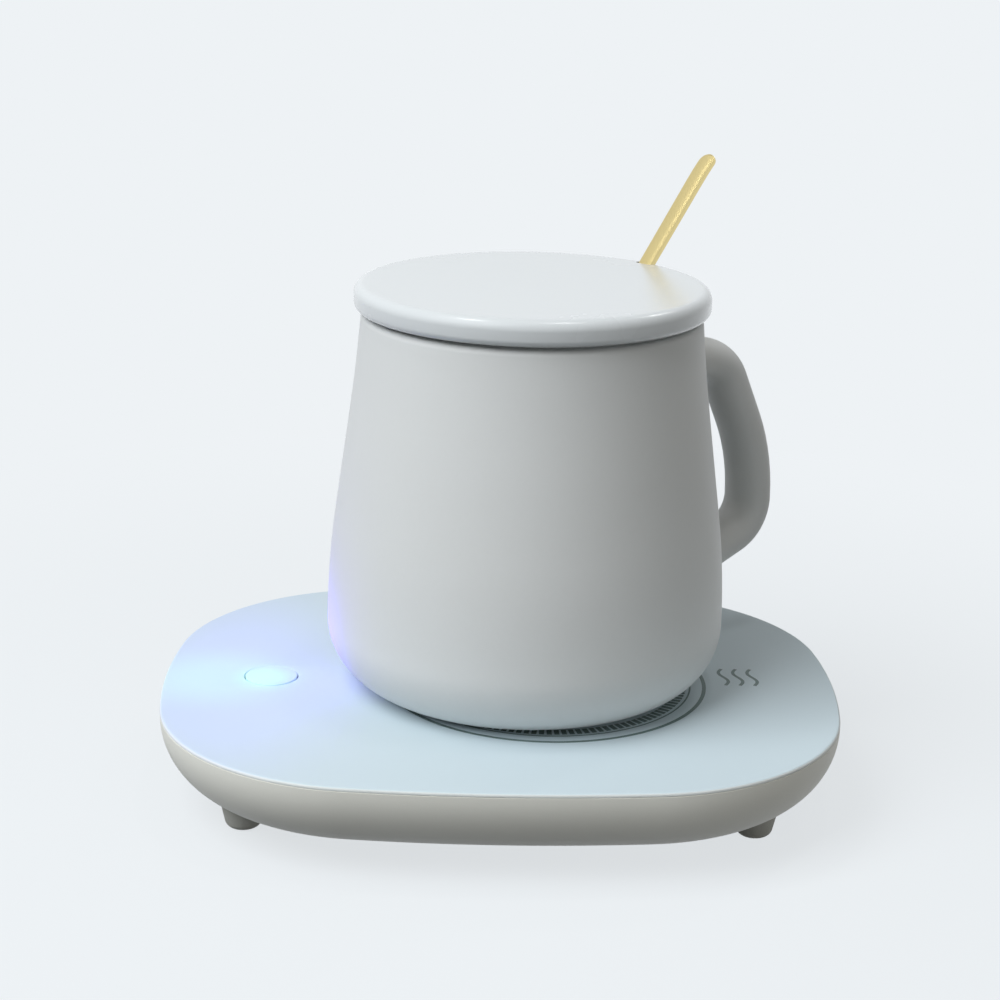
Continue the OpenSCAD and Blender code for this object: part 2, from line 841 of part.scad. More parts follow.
module control_board() {
    color("darkgreen")
        difference() {
            translate([board_x, -board_width / 2, board_z])
                cube([board_length, board_width, board_thickness]);
            at_points(board_posts)
                upright(pin_screw_d + 2 * fit_gap, board_z - cut, board_top_z + cut);
        }
}

// Block that stands on the board
module on_board(x, y, size) {
    translate([x - size.x / 2, y - size.y / 2, board_top_z])
        cube(size);
}

module board_chips() {
    color("dimgray") {
        on_board(button_x + 9.6, -4, [4, 5, 1.6]);
        on_board(button_x + 9.6, 4.4, [4, 4, 2.6]);
        on_board(button_x + 1.6, -13, [5, 5, 1.2]);
        translate([button_x + 2, 13, 0])
            upright(5, board_top_z, board_top_z + 5.4);
    }
}

module wire_connectors() {
    color("beige")
        for (y = connector_rows)
            on_board(board_end_x - connector.x / 2, y, connector);
}

module status_leds() {
    led = [3.5, 2.8, 1.6];
    color("aqua")
        for (s = [-1, 1])
            on_board(button_x, s * (switch_side / 2 + led.y / 2 + 0.5), led);
}

module switch_body() {
    color("black")
        translate([button_x, 0, 0])
            difference() {
                translate([-switch_side / 2, -switch_side / 2, board_top_z])
                    cube([switch_side, switch_side, switch_height]);
                upright(
                    plunger_d + 2 * fit_gap,
                    switch_top_z - plunger_proud - 2 * button_travel,
                    switch_top_z + cut
                );
            }
}

module board_screws() {
    color("silver") {
        at_points(board_posts)
            screw_down(pin_screw_d, pin_screw_length, pin_head_d, pin_head_h, board_top_z);
        at_points(socket_posts)
            screw_down(pin_screw_d, pin_screw_length, pin_head_d, pin_head_h, socket_board_top_z);
    }
}

module socket_board() {
    color("darkgreen")
        difference() {
            translate([
                -socket_board_width / 2,
                socket_board_y - socket_board_depth,
                socket_board_top_z - socket_board_thick
            ])
                cube([socket_board_width, socket_board_depth, socket_board_thick]);
            at_points(socket_posts)
                upright(
                    pin_screw_d + 2 * fit_gap,
                    socket_board_top_z - socket_board_thick - cut,
                    socket_board_top_z + cut
                );
        }
}

module socket_shell() {
    color("silver")
        difference() {
            socket_slot(socket_width, socket_height, socket_y - socket_depth, socket_y);
            socket_slot(
                socket_width - 2 * socket_wall,
                socket_height - 2 * socket_wall,
                socket_y - socket_depth + socket_wall,
                socket_y + cut
            );
        }
}

module socket_tongue() {
    tongue = [6.7, 4.6, 0.7];
    color("black")
        translate([-tongue.x / 2, socket_y - socket_depth + socket_wall, socket_z - tongue.z / 2])
            cube(tongue);
}

module socket_leads() {
    bend = 6;
    start_y = socket_board_y - socket_board_depth + 2;
    start_z = socket_board_top_z - socket_board_thick;
    corner_x = board_end_x + 2 * connector.x;
    corner_y = ear_reach * sin(ear_angles[1]) - 2 * lead_r;
    row_y = connector_rows[2];
    color("black")
        for (s = [-1, 1]) {
            half_pitch = s * connector_pitch / 2;
            lead([
                [-half_pitch, start_y, start_z],
                [-half_pitch, start_y, low_lead_z],
                [-bend - half_pitch, start_y - bend + half_pitch, low_lead_z],
                [corner_x - half_pitch, corner_y + half_pitch, low_lead_z],
                [corner_x - bend / 2 - half_pitch, (corner_y + row_y) / 2, lead_z - 2 * lead_r],
                plug_point(2, s, bend - 1) + [-half_pitch, 2, 0],
                plug_point(2, s, 2),
                plug_point(2, s, 0)
            ]);
        }
}

module button_cap() {
    flange_z = cover_under_z - 2 * thread_gap - flange_thickness;
    top_z = base_height + button_proud;
    skin = 1.4;
    color("cyan")
        translate([button_x, 0, 0]) {
            difference() {
                union() {
                    upright(button_d, flange_z, top_z);
                    upright(button_d + 2 * flange_width, flange_z, flange_z + flange_thickness);
                }
                upright(button_d - 2 * skin, flange_z - cut, top_z - skin);
            }
            upright(plunger_d, plunger_top_z + thread_gap, top_z - skin / 2);
        }
}

module switch_plunger() {
    color("white")
        translate([button_x, 0, 0])
            upright(plunger_d, switch_top_z - plunger_proud, plunger_top_z);
}

// Section of the handle: thickness across the run, width along the plane's normal
handle_sides = 16;
handle_step = 9;
// Points and headings along the handle, turning clockwise
function handle_path(i, p, heading) =
    i == len(handle_steps)
        ? []
        : let (size = handle_steps[i][0], turn = handle_steps[i][1])
          turn == 0
              ? let (q = p + size * [cos(heading), sin(heading)])
                concat([[q, heading]], handle_path(i + 1, q, heading))
              : let (
                    n = ceil(turn / handle_step),
                    c = p + size * [sin(heading), -cos(heading)],
                    bend = [
                        for (k = [1 : n])
                            let (h = heading - turn * k / n)
                            [c + size * [-sin(h), cos(h)], h]
                    ]
                )
                concat(bend, handle_path(i + 1, bend[n - 1][0], heading - turn));
function handle_ring(stop) =
    let (p = stop[0], h = stop[1])
    [
        for (k = [0 : handle_sides - 1])
            let (a = k * 360 / handle_sides, across = handle_thick / 2 * cos(a))
            [p.x - across * sin(h), p.y + across * cos(h), handle_width / 2 * sin(a)]
    ];

module handle() {
    start = [handle_root_r, handle_top];
    rotate(handle_angle)
        rotate([90, 0, 0])
            tube([for (stop = concat([[start, 0]], handle_path(0, start, 0))) handle_ring(stop)]);
}

module at_mug() {
    translate([mug_x, mug_y, base_height])
        children();
}

module mug() {
    color("whitesmoke")
        at_mug() {
            rotate_extrude()
                polygon(concat(mug_outside, reversed(mug_inside), mug_underside));
            handle();
        }
}

module lid_profile() {
    bead_x = lid_r - lid_bead;
    difference() {
        union() {
            square([bead_x, 2 * lid_bead]);
            translate([bead_x, lid_bead])
                circle(lid_bead);
        }
        translate([-cut, -cut])
            square([collar_r - collar_wall + cut, 2 * lid_bead - lid_plate + cut]);
    }
    translate([collar_r - collar_wall, -collar_depth])
        square([collar_wall, collar_depth + lid_bead]);
}

module lid() {
    notch_c = notch_r + notch_width / 2;
    ceiling = 2 * lid_bead - lid_plate;
    color("white")
        translate([mug_x, mug_y, lid_z])
            difference() {
                rotate_extrude()
                    lid_profile();
                rotate(spoon_angle) {
                    translate([notch_c, 0, 0])
                        upright(notch_width, -collar_depth - cut, 2 * lid_bead + cut);
                    translate([notch_c, -notch_width / 2, -collar_depth - cut])
                        cube([lid_r, notch_width, collar_depth + 2 * lid_bead + 2 * cut]);
                    translate([collar_cut_r, -notch_width / 2, -collar_depth - cut])
                        cube([lid_r, notch_width, collar_depth + ceiling + cut]);
                }
            }
}

// Outline of the bowl: two wide arcs for its sides and one circle for its ends
module bowl_outline() {
    intersection() {
        translate([bowl_length / 2, 0])
            circle(bowl_length / 2);
        translate([bowl_length / 2, bowl_width / 2 - bowl_side_r])
            circle(bowl_side_r);
        translate([bowl_length / 2, bowl_side_r - bowl_width / 2])
            circle(bowl_side_r);
    }
}

// Dished sheet with its lip at z = 0, curved more across the bowl than along it
module bowl_sheet_solid() {
    half_sweep = 30;
    tube_c = bowl_along_r - bowl_across_r;
    translate([bowl_length / 2, 0, bowl_along_r - bowl_dish])
        rotate([90, 0, 0])
            rotate(270 - half_sweep)
                rotate_extrude(angle = 2 * half_sweep)
                    translate([tube_c, 0])
                        difference() {
                            circle(bowl_across_r);
                            circle(bowl_across_r - bowl_sheet);
                        }
}

module spoon_bowl() {
    intersection() {
        bowl_sheet_solid();
        translate([0, 0, -bowl_dish - cut])
            linear_extrude(bowl_dish + cut)
                bowl_outline();
    }
}

// Curved end of the stem and its round tip, turning clockwise in the xy plane
module stem_tip() {
    translate([0, -tip_arc, 0])
        rotate_extrude(start = 90 - tip_turn, angle = tip_turn)
            translate([tip_arc, 0])
                square([stem_thick, stem_end], center = true);
    translate([tip_arc * sin(tip_turn), tip_arc * (cos(tip_turn) - 1), 0])
        rotate(-tip_turn)
            rotate([90, 0, 0])
                cylinder(d = stem_end, h = stem_thick, center = true);
}

// Spoon along +X, with the bowl's tip at x = 0 and the underside of the stem at z = 0
module spoon_flat() {
    stem_from = bowl_length - bowl_overlap;
    stem_to = floor(spoon_length - tip_arc * tip_turn * PI / 180 - stem_end / 2);
    translate([0, 0, stem_thick])
        spoon_bowl();
    linear_extrude(stem_thick)
        polygon([
            [stem_from, -stem_neck / 2],
            [stem_to, -stem_end / 2],
            [stem_to, stem_end / 2],
            [stem_from, stem_neck / 2]
        ]);
    translate([stem_to, 0, stem_thick / 2])
        rotate([90, 0, 0])
            stem_tip();
}

module spoon() {
    foot = spoon_rest - spoon_depth * spoon_along;
    color("gold")
        at_mug()
            rotate(spoon_angle)
                translate([foot.x, 0, foot.y])
                    rotate([0, spoon_lean - 90, 0])
                        spoon_flat();
}

base_shell();
top_cover();
cover_seal();
foot(CORNERS[0]);  // foot_front_left
foot(CORNERS[1]);  // foot_front_right
foot(CORNERS[2]);  // foot_rear_left
foot(CORNERS[3]);  // foot_rear_right
housing_screws();
heat_spreader();
film_heater();
insulation_pad();
heater_clamp();
clamp_screws();
thermistor();
thermal_fuse();
heater_leads();
thermistor_leads();
control_board();
board_chips();
wire_connectors();
status_leds();
switch_body();
board_screws();
socket_board();
socket_shell();
socket_tongue();
socket_leads();
button_cap();
switch_plunger();
mug();
lid();
spoon();
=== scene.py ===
import math

import bmesh
import bpy
from bpy.props import FloatProperty, FloatVectorProperty, IntProperty, PointerProperty
from mathutils import Matrix, Vector


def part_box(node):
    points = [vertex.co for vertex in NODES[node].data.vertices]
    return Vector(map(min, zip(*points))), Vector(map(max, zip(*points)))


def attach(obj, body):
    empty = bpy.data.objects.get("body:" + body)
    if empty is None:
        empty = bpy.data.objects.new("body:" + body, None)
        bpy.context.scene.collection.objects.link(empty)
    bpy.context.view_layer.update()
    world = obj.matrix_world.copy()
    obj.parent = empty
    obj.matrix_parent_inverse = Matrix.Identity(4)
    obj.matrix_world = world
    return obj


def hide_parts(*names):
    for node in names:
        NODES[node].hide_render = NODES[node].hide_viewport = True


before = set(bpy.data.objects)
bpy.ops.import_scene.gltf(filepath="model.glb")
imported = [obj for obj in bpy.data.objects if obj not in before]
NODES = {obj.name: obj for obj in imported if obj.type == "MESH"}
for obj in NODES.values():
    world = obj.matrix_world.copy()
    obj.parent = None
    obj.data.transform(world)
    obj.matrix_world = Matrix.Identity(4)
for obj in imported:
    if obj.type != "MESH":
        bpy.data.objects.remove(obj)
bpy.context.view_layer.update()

bl_info = {
    "name": "Mug Warmer Set",
    "version": (1, 0, 0),
    "blender": (4, 5, 0),
    "location": "View3D > Sidebar > Warmer",
    "description": "Builds a heated base with a lit button, a lidded mug and a spoon",
    "category": "Object",
}

MM = 0.001
FEET = ("foot_front_left", "foot_front_right", "foot_rear_left", "foot_rear_right")


def middle_of(node):
    low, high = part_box(node)
    return (low + high) / 2


BASE_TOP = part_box("top_cover")[1].z
BUTTON = middle_of("button_cap")
HEATER = middle_of("heat_spreader")
FOOT = middle_of("foot_rear_right")
FOOT_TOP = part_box(FEET[0])[1].z
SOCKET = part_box("socket_shell")
MUG_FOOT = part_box("mug")[0].z
MUG_AXIS = middle_of("lid").xy


def length(name, text, default):
    return FloatProperty(name=name, description=text, default=default, min=0.0, max=0.5, unit="LENGTH")


def turn(name, text, degrees):
    return FloatProperty(name=name, description=text, default=math.radians(degrees), subtype="ANGLE")


def colour(name, text, value):
    return FloatVectorProperty(
        name=name, description=text, default=value, size=3, min=0.0, max=1.0, subtype="COLOR"
    )


class WarmerBaseSizes(bpy.types.PropertyGroup):
    """Sizes of the heated base."""

    half_length: length("Half Length", "Middle of the base to its end", 0.078)
    half_width: length("Half Width", "Middle of the base to its front", 0.065)
    end_arc: length("End Arc", "Radius of the bowed ends", 0.165)
    side_bow: length("Side Bow", "Radius of the bowed front and back", 0.320)
    corner: length("Corner", "Radius of the corners", 0.0485)
    top: length("Top", "Height of the cover's face above the table", BASE_TOP)
    underside: length("Underside", "Height of the shell's underside above the table", 0.004)
    wall: length("Wall", "Thickness of the shell", 0.0022)
    side_run: length("Side Run", "How far the curved side runs in under the base", 0.027)
    side_arc: length("Side Arc", "Radius of the upper curve of the side", 0.016)
    side_top: length("Side Top", "Height above the table where the curved side turns upright", 0.0215)
    cover_edge: length("Cover Edge", "Height of the cover's edge above the shell", 0.0009)
    cover_step: length("Cover Step", "Depth of the step inside the shell", 0.0017)
    cover_round: length("Cover Rounding", "Rounding of the cover's upper edge", 0.0006)
    seal: length("Seal", "Thickness of the seal under the step", 0.0008)
    ledge: length("Ledge", "Width of the ledge that carries the seal", 0.0026)
    foot_d: length("Foot Diameter", "Diameter of a foot", 0.0084)
    foot_round: length("Foot Rounding", "Rounding of a foot's lower edge", 0.0020)
    foot_flare: length("Foot Flare", "Growth of a foot's radius towards the shell", 0.0006)
    screw_head_d: length("Screw Head", "Head diameter of a housing screw", 0.0056)
    screw_recess: length("Screw Recess", "Depth of a screw head's seat", 0.004)
    button_d: length("Button Diameter", "Diameter of the button", 0.012)
    button_rise: length("Button Rise", "Height of the button above the cover", 0.0001)
    button_gap: length("Button Gap", "Gap round the button", 0.0003)
    ring_r: length("Ring Radius", "Radius of the printed ring where the mug stands", 0.0370)
    ring_ticks: IntProperty(name="Ring Ticks", description="Marks round the ring", default=120, min=12)


class WarmerMugSizes(bpy.types.PropertyGroup):
    """Sizes of the mug, the lid and the spoon."""

    height: length("Height", "Height of the mug", 0.087)
    belly: length("Belly", "Greatest radius of the mug", 0.0457)
    corner: length("Corner", "Radius of the rounded lower corner", 0.0155)
    belly_arc: length("Belly Arc", "Radius of the curve above the belly", 0.190)
    taper: turn("Taper", "Lean of the side against the vertical", 7.75)
    cone_rise: length("Straight Side", "Height of the straight part of the side", 0.0234)
    neck_arc: length("Neck Arc", "Radius of the hollow curve under the rim", 0.420)
    wall: length("Wall", "Thickness of the mug", 0.0042)
    rim_round: length("Rim Rounding", "Outer rounding of the rim", 0.0016)
    handle_turn: turn("Handle Direction", "Direction of the handle", 37.0)
    handle_thick: length("Handle Thickness", "Thickness of the handle, outwards", 0.0100)
    handle_width: length("Handle Width", "Width of the handle", 0.0125)
    handle_top: length("Handle Top", "Height of the upper arm", 0.0702)
    handle_flare: FloatProperty(
        name="Handle Flare", description="Growth of the handle where it meets the mug",
        default=0.34, min=0.0, max=1.0, subtype="FACTOR",
    )
    lid_r: length("Lid Radius", "Radius of the lid", 0.040)
    lid_bead: length("Lid Bead", "Radius of the lid's rounded upper edge", 0.0024)
    lid_tuck: length("Lid Tuck", "Radius of the rounding under the lid's edge", 0.0017)
    lid_height: length("Lid Height", "Height of the lid above the mug's rim", 0.0067)
    lid_gap: length("Lid Gap", "Height of the groove between the lid's edge and the rim", 0.0009)
    lid_plate: length("Lid Plate", "Thickness of the lid's plate", 0.004)
    collar_depth: length("Collar Depth", "Depth of the collar in the mug", 0.006)
    collar_wall: length("Collar Wall", "Thickness of the collar", 0.003)
    notch: length("Notch", "Width of the notch for the spoon", 0.0046)
    spoon_turn: turn("Spoon Direction", "Direction in which the spoon leans", 44.5)
    spoon_lean: turn("Spoon Lean", "Lean of the spoon against the vertical", 42.0)
    spoon_length: length("Spoon Length", "Whole length of the spoon", 0.1463)
    tip_turn: turn("Tip Bend", "Bend at the end of the stem", 5.0)
    bowl_length: length("Bowl Length", "Length of the spoon's bowl", 0.042)
    bowl_width: length("Bowl Width", "Width of the spoon's bowl", 0.027)
    bowl_dish: length("Bowl Depth", "Depth of the spoon's bowl", 0.0065)
    stem_thick: length("Stem Thickness", "Thickness of the stem", 0.0016)
    stem_neck: length("Stem at Bowl", "Width of the stem at the bowl", 0.0036)
    stem_end: length("Stem at End", "Width of the stem at its end", 0.0046)


class WarmerColours(bpy.types.PropertyGroup):
    """Colours of the set, in linear values."""

    shell: colour("Shell", "Moulded shell", (0.86, 0.85, 0.785))
    shell_fleck: colour("Shell Fleck", "Variation in the shell", (0.81, 0.795, 0.73))
    cover: colour("Cover", "Top cover", (0.60, 0.695, 0.74))
    cover_fleck: colour("Cover Fleck", "Variation in the cover", (0.58, 0.673, 0.722))
    print_ink: colour("Print", "Printed marks", (0.105, 0.150, 0.145))
    # Painted highlight: paler colour for the cover's rounded edge, where light catches it
    cover_rim_highlight: colour("Cover Rim Highlight", "Edge of the top cover", (0.80, 0.825, 0.815))
    glow_core: colour("Glow Core", "Light next to the button", (0.03, 0.14, 0.02))
    glow_halo: colour("Glow Halo", "Light further from the button", (0.02, 0.01, 0.25))
    mug: colour("Mug", "Glaze of the mug", (0.72, 0.725, 0.72))
    mug_fleck: colour("Mug Fleck", "Variation in the glaze", (0.68, 0.685, 0.675))
    lid: colour("Lid", "Glaze of the lid", (0.66, 0.68, 0.69))
    spoon: colour("Spoon", "Gold finish of the spoon", (0.86, 0.71, 0.345))
    rubber: colour("Feet", "Rubber of the feet", (0.57, 0.565, 0.52))
    floor: colour("Floor", "Floor and backdrop", (0.855, 0.888, 0.913))
    air: colour("Room Light", "Light that comes from all round", (0.88, 0.89, 0.845))


# Points and meshes


def arc(centre, r, start, end, steps):
    """Points along an arc given in degrees, without its first point."""
    turns = [math.radians(start + (end - start) * k / steps) for k in range(1, steps + 1)]
    return [(centre[0] + r * math.cos(a), centre[1] + r * math.sin(a)) for a in turns]


def bridge(bm, rings):
    """Faces between rings of the same count. A ring of one vertex is a pole."""
    for a, b in zip(rings, rings[1:]):
        n = max(len(a), len(b))
        for k in range(n):
            m = (k + 1) % n
            corners = [a[k % len(a)], a[m % len(a)], b[m % len(b)], b[k % len(b)]]
            unique = [v for i, v in enumerate(corners) if v not in corners[:i]]
            if len(unique) > 2:
                bm.faces.new(unique)


def tube(bm, rings):
    """Faces between rings and over both ends."""
    bridge(bm, rings)
    for ring in (rings[0], rings[-1]):
        bm.faces.new(ring)


def lathe(bm, profile, steps, centre=(0.0, 0.0)):
    """Solid of revolution about an upright axis, from points of radius and height."""
    rings = []
    for r, z in profile:
        count = steps if r > 1e-9 else 1
        turns = [2 * math.pi * k / steps for k in range(count)]
        rings.append([
            bm.verts.new((centre[0] + r * math.cos(a), centre[1] + r * math.sin(a), z)) for a in turns
        ])
    bridge(bm, rings)


def block(bm, low, high):
    made = bmesh.ops.create_cube(bm, size=1.0)
    for v in made["verts"]:
        for k in range(3):
            v.co[k] = low[k] if v.co[k] < 0 else high[k]


def weld(bm):
    bmesh.ops.remove_doubles(bm, verts=bm.verts, dist=0.001 * MM)


def to_mesh(bm, name):
    weld(bm)
    bmesh.ops.recalc_face_normals(bm, faces=bm.faces)
    mesh = bpy.data.meshes.new(name)
    bm.to_mesh(mesh)
    bm.free()
    return mesh


def lathe_mesh(name, profile, steps, centre=(0.0, 0.0)):
    bm = bmesh.new()
    lathe(bm, profile, steps, centre)
    return to_mesh(bm, name)


def block_mesh(name, low, high):
    bm = bmesh.new()
    block(bm, low, high)
    return to_mesh(bm, name)


def scratch(mesh):
    """Object that holds a mesh while a modifier works on it."""
    obj = bpy.data.objects.new("scratch", mesh)
    bpy.context.scene.collection.objects.link(obj)
    return obj


def evaluated(obj, name):
    bpy.context.view_layer.update()
    graph = bpy.context.evaluated_depsgraph_get()
    mesh = bpy.data.meshes.new_from_object(obj.evaluated_get(graph))
    mesh.name = name
    if not mesh.polygons:
        raise RuntimeError(f"{name}: the modifier left no faces")
    return mesh


def combine(mesh, other, operation):
    """Exact boolean of two closed meshes, as a new mesh."""
    a, b = scratch(mesh), scratch(other)
    mod = a.modifiers.new("Boolean", "BOOLEAN")
    mod.operation, mod.object, mod.solver = operation, b, "EXACT"
    result = evaluated(a, mesh.name)
    for obj in (a, b):
        bpy.data.objects.remove(obj)
    return result


def finish_piece(name, mesh, body, material, nodes, sharp=38.0):
    """Piece of the set: smooth faces with crisp edges, riding on its body."""
    bm = bmesh.new()
    bm.from_mesh(mesh)
    weld(bm)
    wide = [face for face in bm.faces if len(face.verts) > 4]
    bmesh.ops.triangulate(bm, faces=wide, ngon_method="BEAUTY")
    bm.to_mesh(mesh)
    bm.free()
    mesh.materials.clear()
    mesh.materials.append(material)
    for face in mesh.polygons:
        face.use_smooth = True
        face.material_index = 0
    mesh.set_sharp_from_angle(angle=math.radians(sharp))
    mesh.name = name
    obj = bpy.data.objects.new(name, mesh)
    bpy.context.scene.collection.objects.link(obj)
    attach(obj, body)
    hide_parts(*nodes)


# Node trees

GEOMETRY, MATERIAL = "NodeSocketGeometry", "NodeSocketMaterial"
COLOR, FLOAT = "NodeSocketColor", "NodeSocketFloat"


def spaced(key):
    return key.replace("_", " ")


class Tree:
    """Node tree with short calls for adding and linking nodes."""

    def __init__(self, tree):
        self.tree = tree

    def fill(self, socket, value):
        if isinstance(value, bpy.types.NodeSocket):
            self.tree.links.new(value, socket)
        else:
            socket.default_value = value

    def add(self, kind, *values, **named):
        """Adds a node. Values fill its first sockets, capital names its sockets, others its settings."""
        made = self.tree.nodes.new(kind)
        for key, value in named.items():
            if key[0].islower():
                setattr(made, key, value)
        sockets = [(spaced(key), value) for key, value in named.items() if key[0].isupper()]
        for key, value in [*enumerate(values), *sockets]:
            self.fill(made.inputs[key], value)
        return made

    def put(self, kind, *values, **named):
        """Adds a node and returns its first output."""
        return self.add(kind, *values, **named).outputs[0]

    def math(self, operation, a, b=0.0, clamp=False):
        return self.put("ShaderNodeMath", a, b, operation=operation, use_clamp=clamp)

    def vector(self, operation, *values, **named):
        return self.put("ShaderNodeVectorMath", *values, operation=operation, **named)

    def distance(self, point):
        return self.add("ShaderNodeVectorMath", point, operation="LENGTH").outputs["Value"]

    def xyz(self, **parts):
        return self.put("ShaderNodeCombineXYZ", **parts)

    def where(self, kind="Object"):
        return self.add("ShaderNodeTexCoord").outputs[kind]

    def height(self, kind="Object"):
        return self.add("ShaderNodeSeparateXYZ", self.where(kind)).outputs["Z"]

    def noise(self, point, scale, detail, rough=0.5):
        return self.put("ShaderNodeTexNoise", Vector=point, Scale=scale, Detail=detail, Roughness=rough)

    def ramp(self, value, given, wanted, kind="SMOOTHSTEP"):
        """Value moved from one range to another."""
        return self.put(
            "ShaderNodeMapRange", interpolation_type=kind, Value=value,
            From_Min=given[0], From_Max=given[1], To_Min=wanted[0], To_Max=wanted[1],
        )

    def blend(self, share, a, b):
        """Mix of two colours. Their sockets share their names with the number sockets of the node."""
        mix = self.add("ShaderNodeMix", data_type="RGBA", Factor=share)
        self.fill(mix.inputs[6], a)
        self.fill(mix.inputs[7], b)
        return mix.outputs[2]

    def mix_shaders(self, share, a, b):
        return self.put("ShaderNodeMixShader", share, a, b)


class Group(Tree):
    """Node group whose sockets are given by their values, or by their kinds."""

    def __init__(self, name, kind, inputs, outputs):
        super().__init__(bpy.data.node_groups.new(name, kind))
        for key, value in inputs.items():
            plain = isinstance(value, str)
            socket = value if plain else self.socket_kind(value)
            made = self.tree.interface.new_socket(spaced(key), in_out="INPUT", socket_type=socket)
            if not plain:
                made.default_value = value
        for key, socket in outputs.items():
            self.tree.interface.new_socket(key, in_out="OUTPUT", socket_type=socket)
        self.source = self.tree.nodes.new("NodeGroupInput")
        self.sink = self.tree.nodes.new("NodeGroupOutput")

    @staticmethod
    def socket_kind(value):
        if isinstance(value, int):
            return "NodeSocketInt"
        if isinstance(value, float):
            return FLOAT
        return "NodeSocketVector" if len(value) == 3 else COLOR

    def __getitem__(self, label):
        """What the group is given at one of its inputs."""
        return self.source.outputs[label]

    def out(self, label, value):
        self.tree.links.new(value, self.sink.inputs[label])


# Geometry Nodes


def geometry_tree(name, **inputs):
    ends = {"Geometry": GEOMETRY, "Material": MATERIAL}
    return Group(name, "GeometryNodeTree", {**ends, **inputs}, {"Geometry": GEOMETRY})


def close_tree(tree, geometry):
    """Last nodes of a tree: real meshes, with their material."""
    real = tree.put("GeometryNodeRealizeInstances", Geometry=geometry)
    tree.out("Geometry", tree.put("GeometryNodeSetMaterial", Geometry=real, Material=tree["Material"]))
    return tree.tree


def grow(name, mesh, tree, values):
    """Runs a tree on a mesh and returns the plain mesh that comes out."""
    obj = scratch(mesh)
    mod = obj.modifiers.new("Nodes", "NODES")
    mod.node_group = tree
    for item in tree.interface.items_tree:
        if item.in_out == "INPUT" and item.name in values:
            mod[item.identifier] = values[item.name]
    result = evaluated(obj, name)
    obj.modifiers.remove(mod)
    bpy.data.objects.remove(obj)
    return result


def four_corners_tree():
    """One copy of the mesh at each corner of a rectangle about the middle of the base."""
    tree = geometry_tree("Four Corners", Half_X=0.05, Half_Y=0.03)
    grid = tree.put(
        "GeometryNodeMeshGrid", Vertices_X=2, Vertices_Y=2,
        Size_X=tree.math("MULTIPLY", tree["Half X"], 2.0),
        Size_Y=tree.math("MULTIPLY", tree["Half Y"], 2.0),
    )
    copies = tree.put("GeometryNodeInstanceOnPoints", Points=grid, Instance=tree["Geometry"])
    return close_tree(tree, copies)


def handle_tree():
    """Oval bar along a path, which grows into the wall at both ends."""
    tree = geometry_tree(
        "Mug Handle", Thickness=0.009, Width=0.011, Flare=0.3, Root=0.003, Reach=0.005,
        Plane_Normal=(0.0, 1.0, 0.0),
    )
    path = tree.put("GeometryNodeMeshToCurve", Mesh=tree["Geometry"])
    level = tree.put(
        "GeometryNodeSetCurveNormal", mode="FREE", Curve=path, Normal=tree["Plane Normal"]
    )
    place = tree.add("GeometryNodeSplineParameter").outputs["Length"]
    whole = tree.add("GeometryNodeSplineLength").outputs["Length"]
    near = tree.math("MINIMUM", place, tree.math("SUBTRACT", whole, place))
    gone = tree.math("DIVIDE", tree.math("SUBTRACT", near, tree["Root"]), tree["Reach"])
    fade = tree.math("SUBTRACT", 1.0, gone, clamp=True)
    bow = tree.math("SQRT", tree.math("SUBTRACT", 1.0, tree.math("MULTIPLY", fade, fade)))
    growth = tree.math("MULTIPLY", tree.math("SUBTRACT", 1.0, bow), tree["Flare"])
    sized = tree.put("GeometryNodeSetCurveRadius", Curve=level, Radius=tree.math("ADD", growth, 1.0))
    circle = tree.put("GeometryNodeCurvePrimitiveCircle", Resolution=56, Radius=0.5)
    shape = tree.xyz(X=tree["Width"], Y=tree["Thickness"], Z=1.0)
    oval = tree.put("GeometryNodeTransform", Geometry=circle, Scale=shape)
    bar = tree.put(
        "GeometryNodeCurveToMesh", Curve=sized, Profile_Curve=oval,
        Scale=tree.put("GeometryNodeInputRadius"), Fill_Caps=True,
    )
    return close_tree(tree, bar)


def flat_stroke(tree, curve, width):
    """Printed line: a low bar of a given width along a curve."""
    profile = tree.put("GeometryNodeCurvePrimitiveQuadrilateral", Width=width, Height=tree["Ink"])
    return tree.put("GeometryNodeCurveToMesh", Curve=curve, Profile_Curve=profile, Fill_Caps=True)


def close_marks(tree, geometry):
    """Last nodes of printed marks, which first go to their place."""
    placed = tree.put("GeometryNodeTransform", Geometry=geometry, Translation=tree["Place"])
    return close_tree(tree, placed)


def seat_marks_tree():
    """Two printed rings and a scale of short marks between them and the middle."""
    tree = geometry_tree(
        "Seat Marks", Radius=0.037, Line=0.0009, Thin_Line=0.0004, Ring_Step=0.0033,
        Mark_Length=0.0026, Mark_Width=0.00112, Marks=120, Ink=0.00006, Place=(0.0, 0.0, 0.0),
    )
    outer, long = tree["Radius"], tree["Mark Length"]
    inner = tree.math("SUBTRACT", outer, tree["Ring Step"])
    parts = []
    for r, width in ((outer, "Line"), (inner, "Thin Line")):
        ring = tree.put("GeometryNodeCurvePrimitiveCircle", Resolution=240, Radius=r)
        parts.append(flat_stroke(tree, ring, tree[width]))
    scale_r = tree.math("SUBTRACT", inner, tree.math("MULTIPLY", long, 0.85))
    points = tree.put("GeometryNodeMeshCircle", Vertices=tree["Marks"], Radius=scale_r)
    size = tree.xyz(X=long, Y=tree["Mark Width"], Z=tree["Ink"])
    step = tree.math("DIVIDE", 2 * math.pi, tree["Marks"])
    face = tree.xyz(Z=tree.math("MULTIPLY", tree.put("GeometryNodeInputIndex"), step))
    parts.append(tree.put(
        "GeometryNodeInstanceOnPoints", Points=points, Rotation=face,
        Instance=tree.put("GeometryNodeMeshCube", Size=size),
    ))
    joined = tree.add("GeometryNodeJoinGeometry")
    for part in parts:
        tree.fill(joined.inputs[0], part)
    return close_marks(tree, joined.outputs[0])


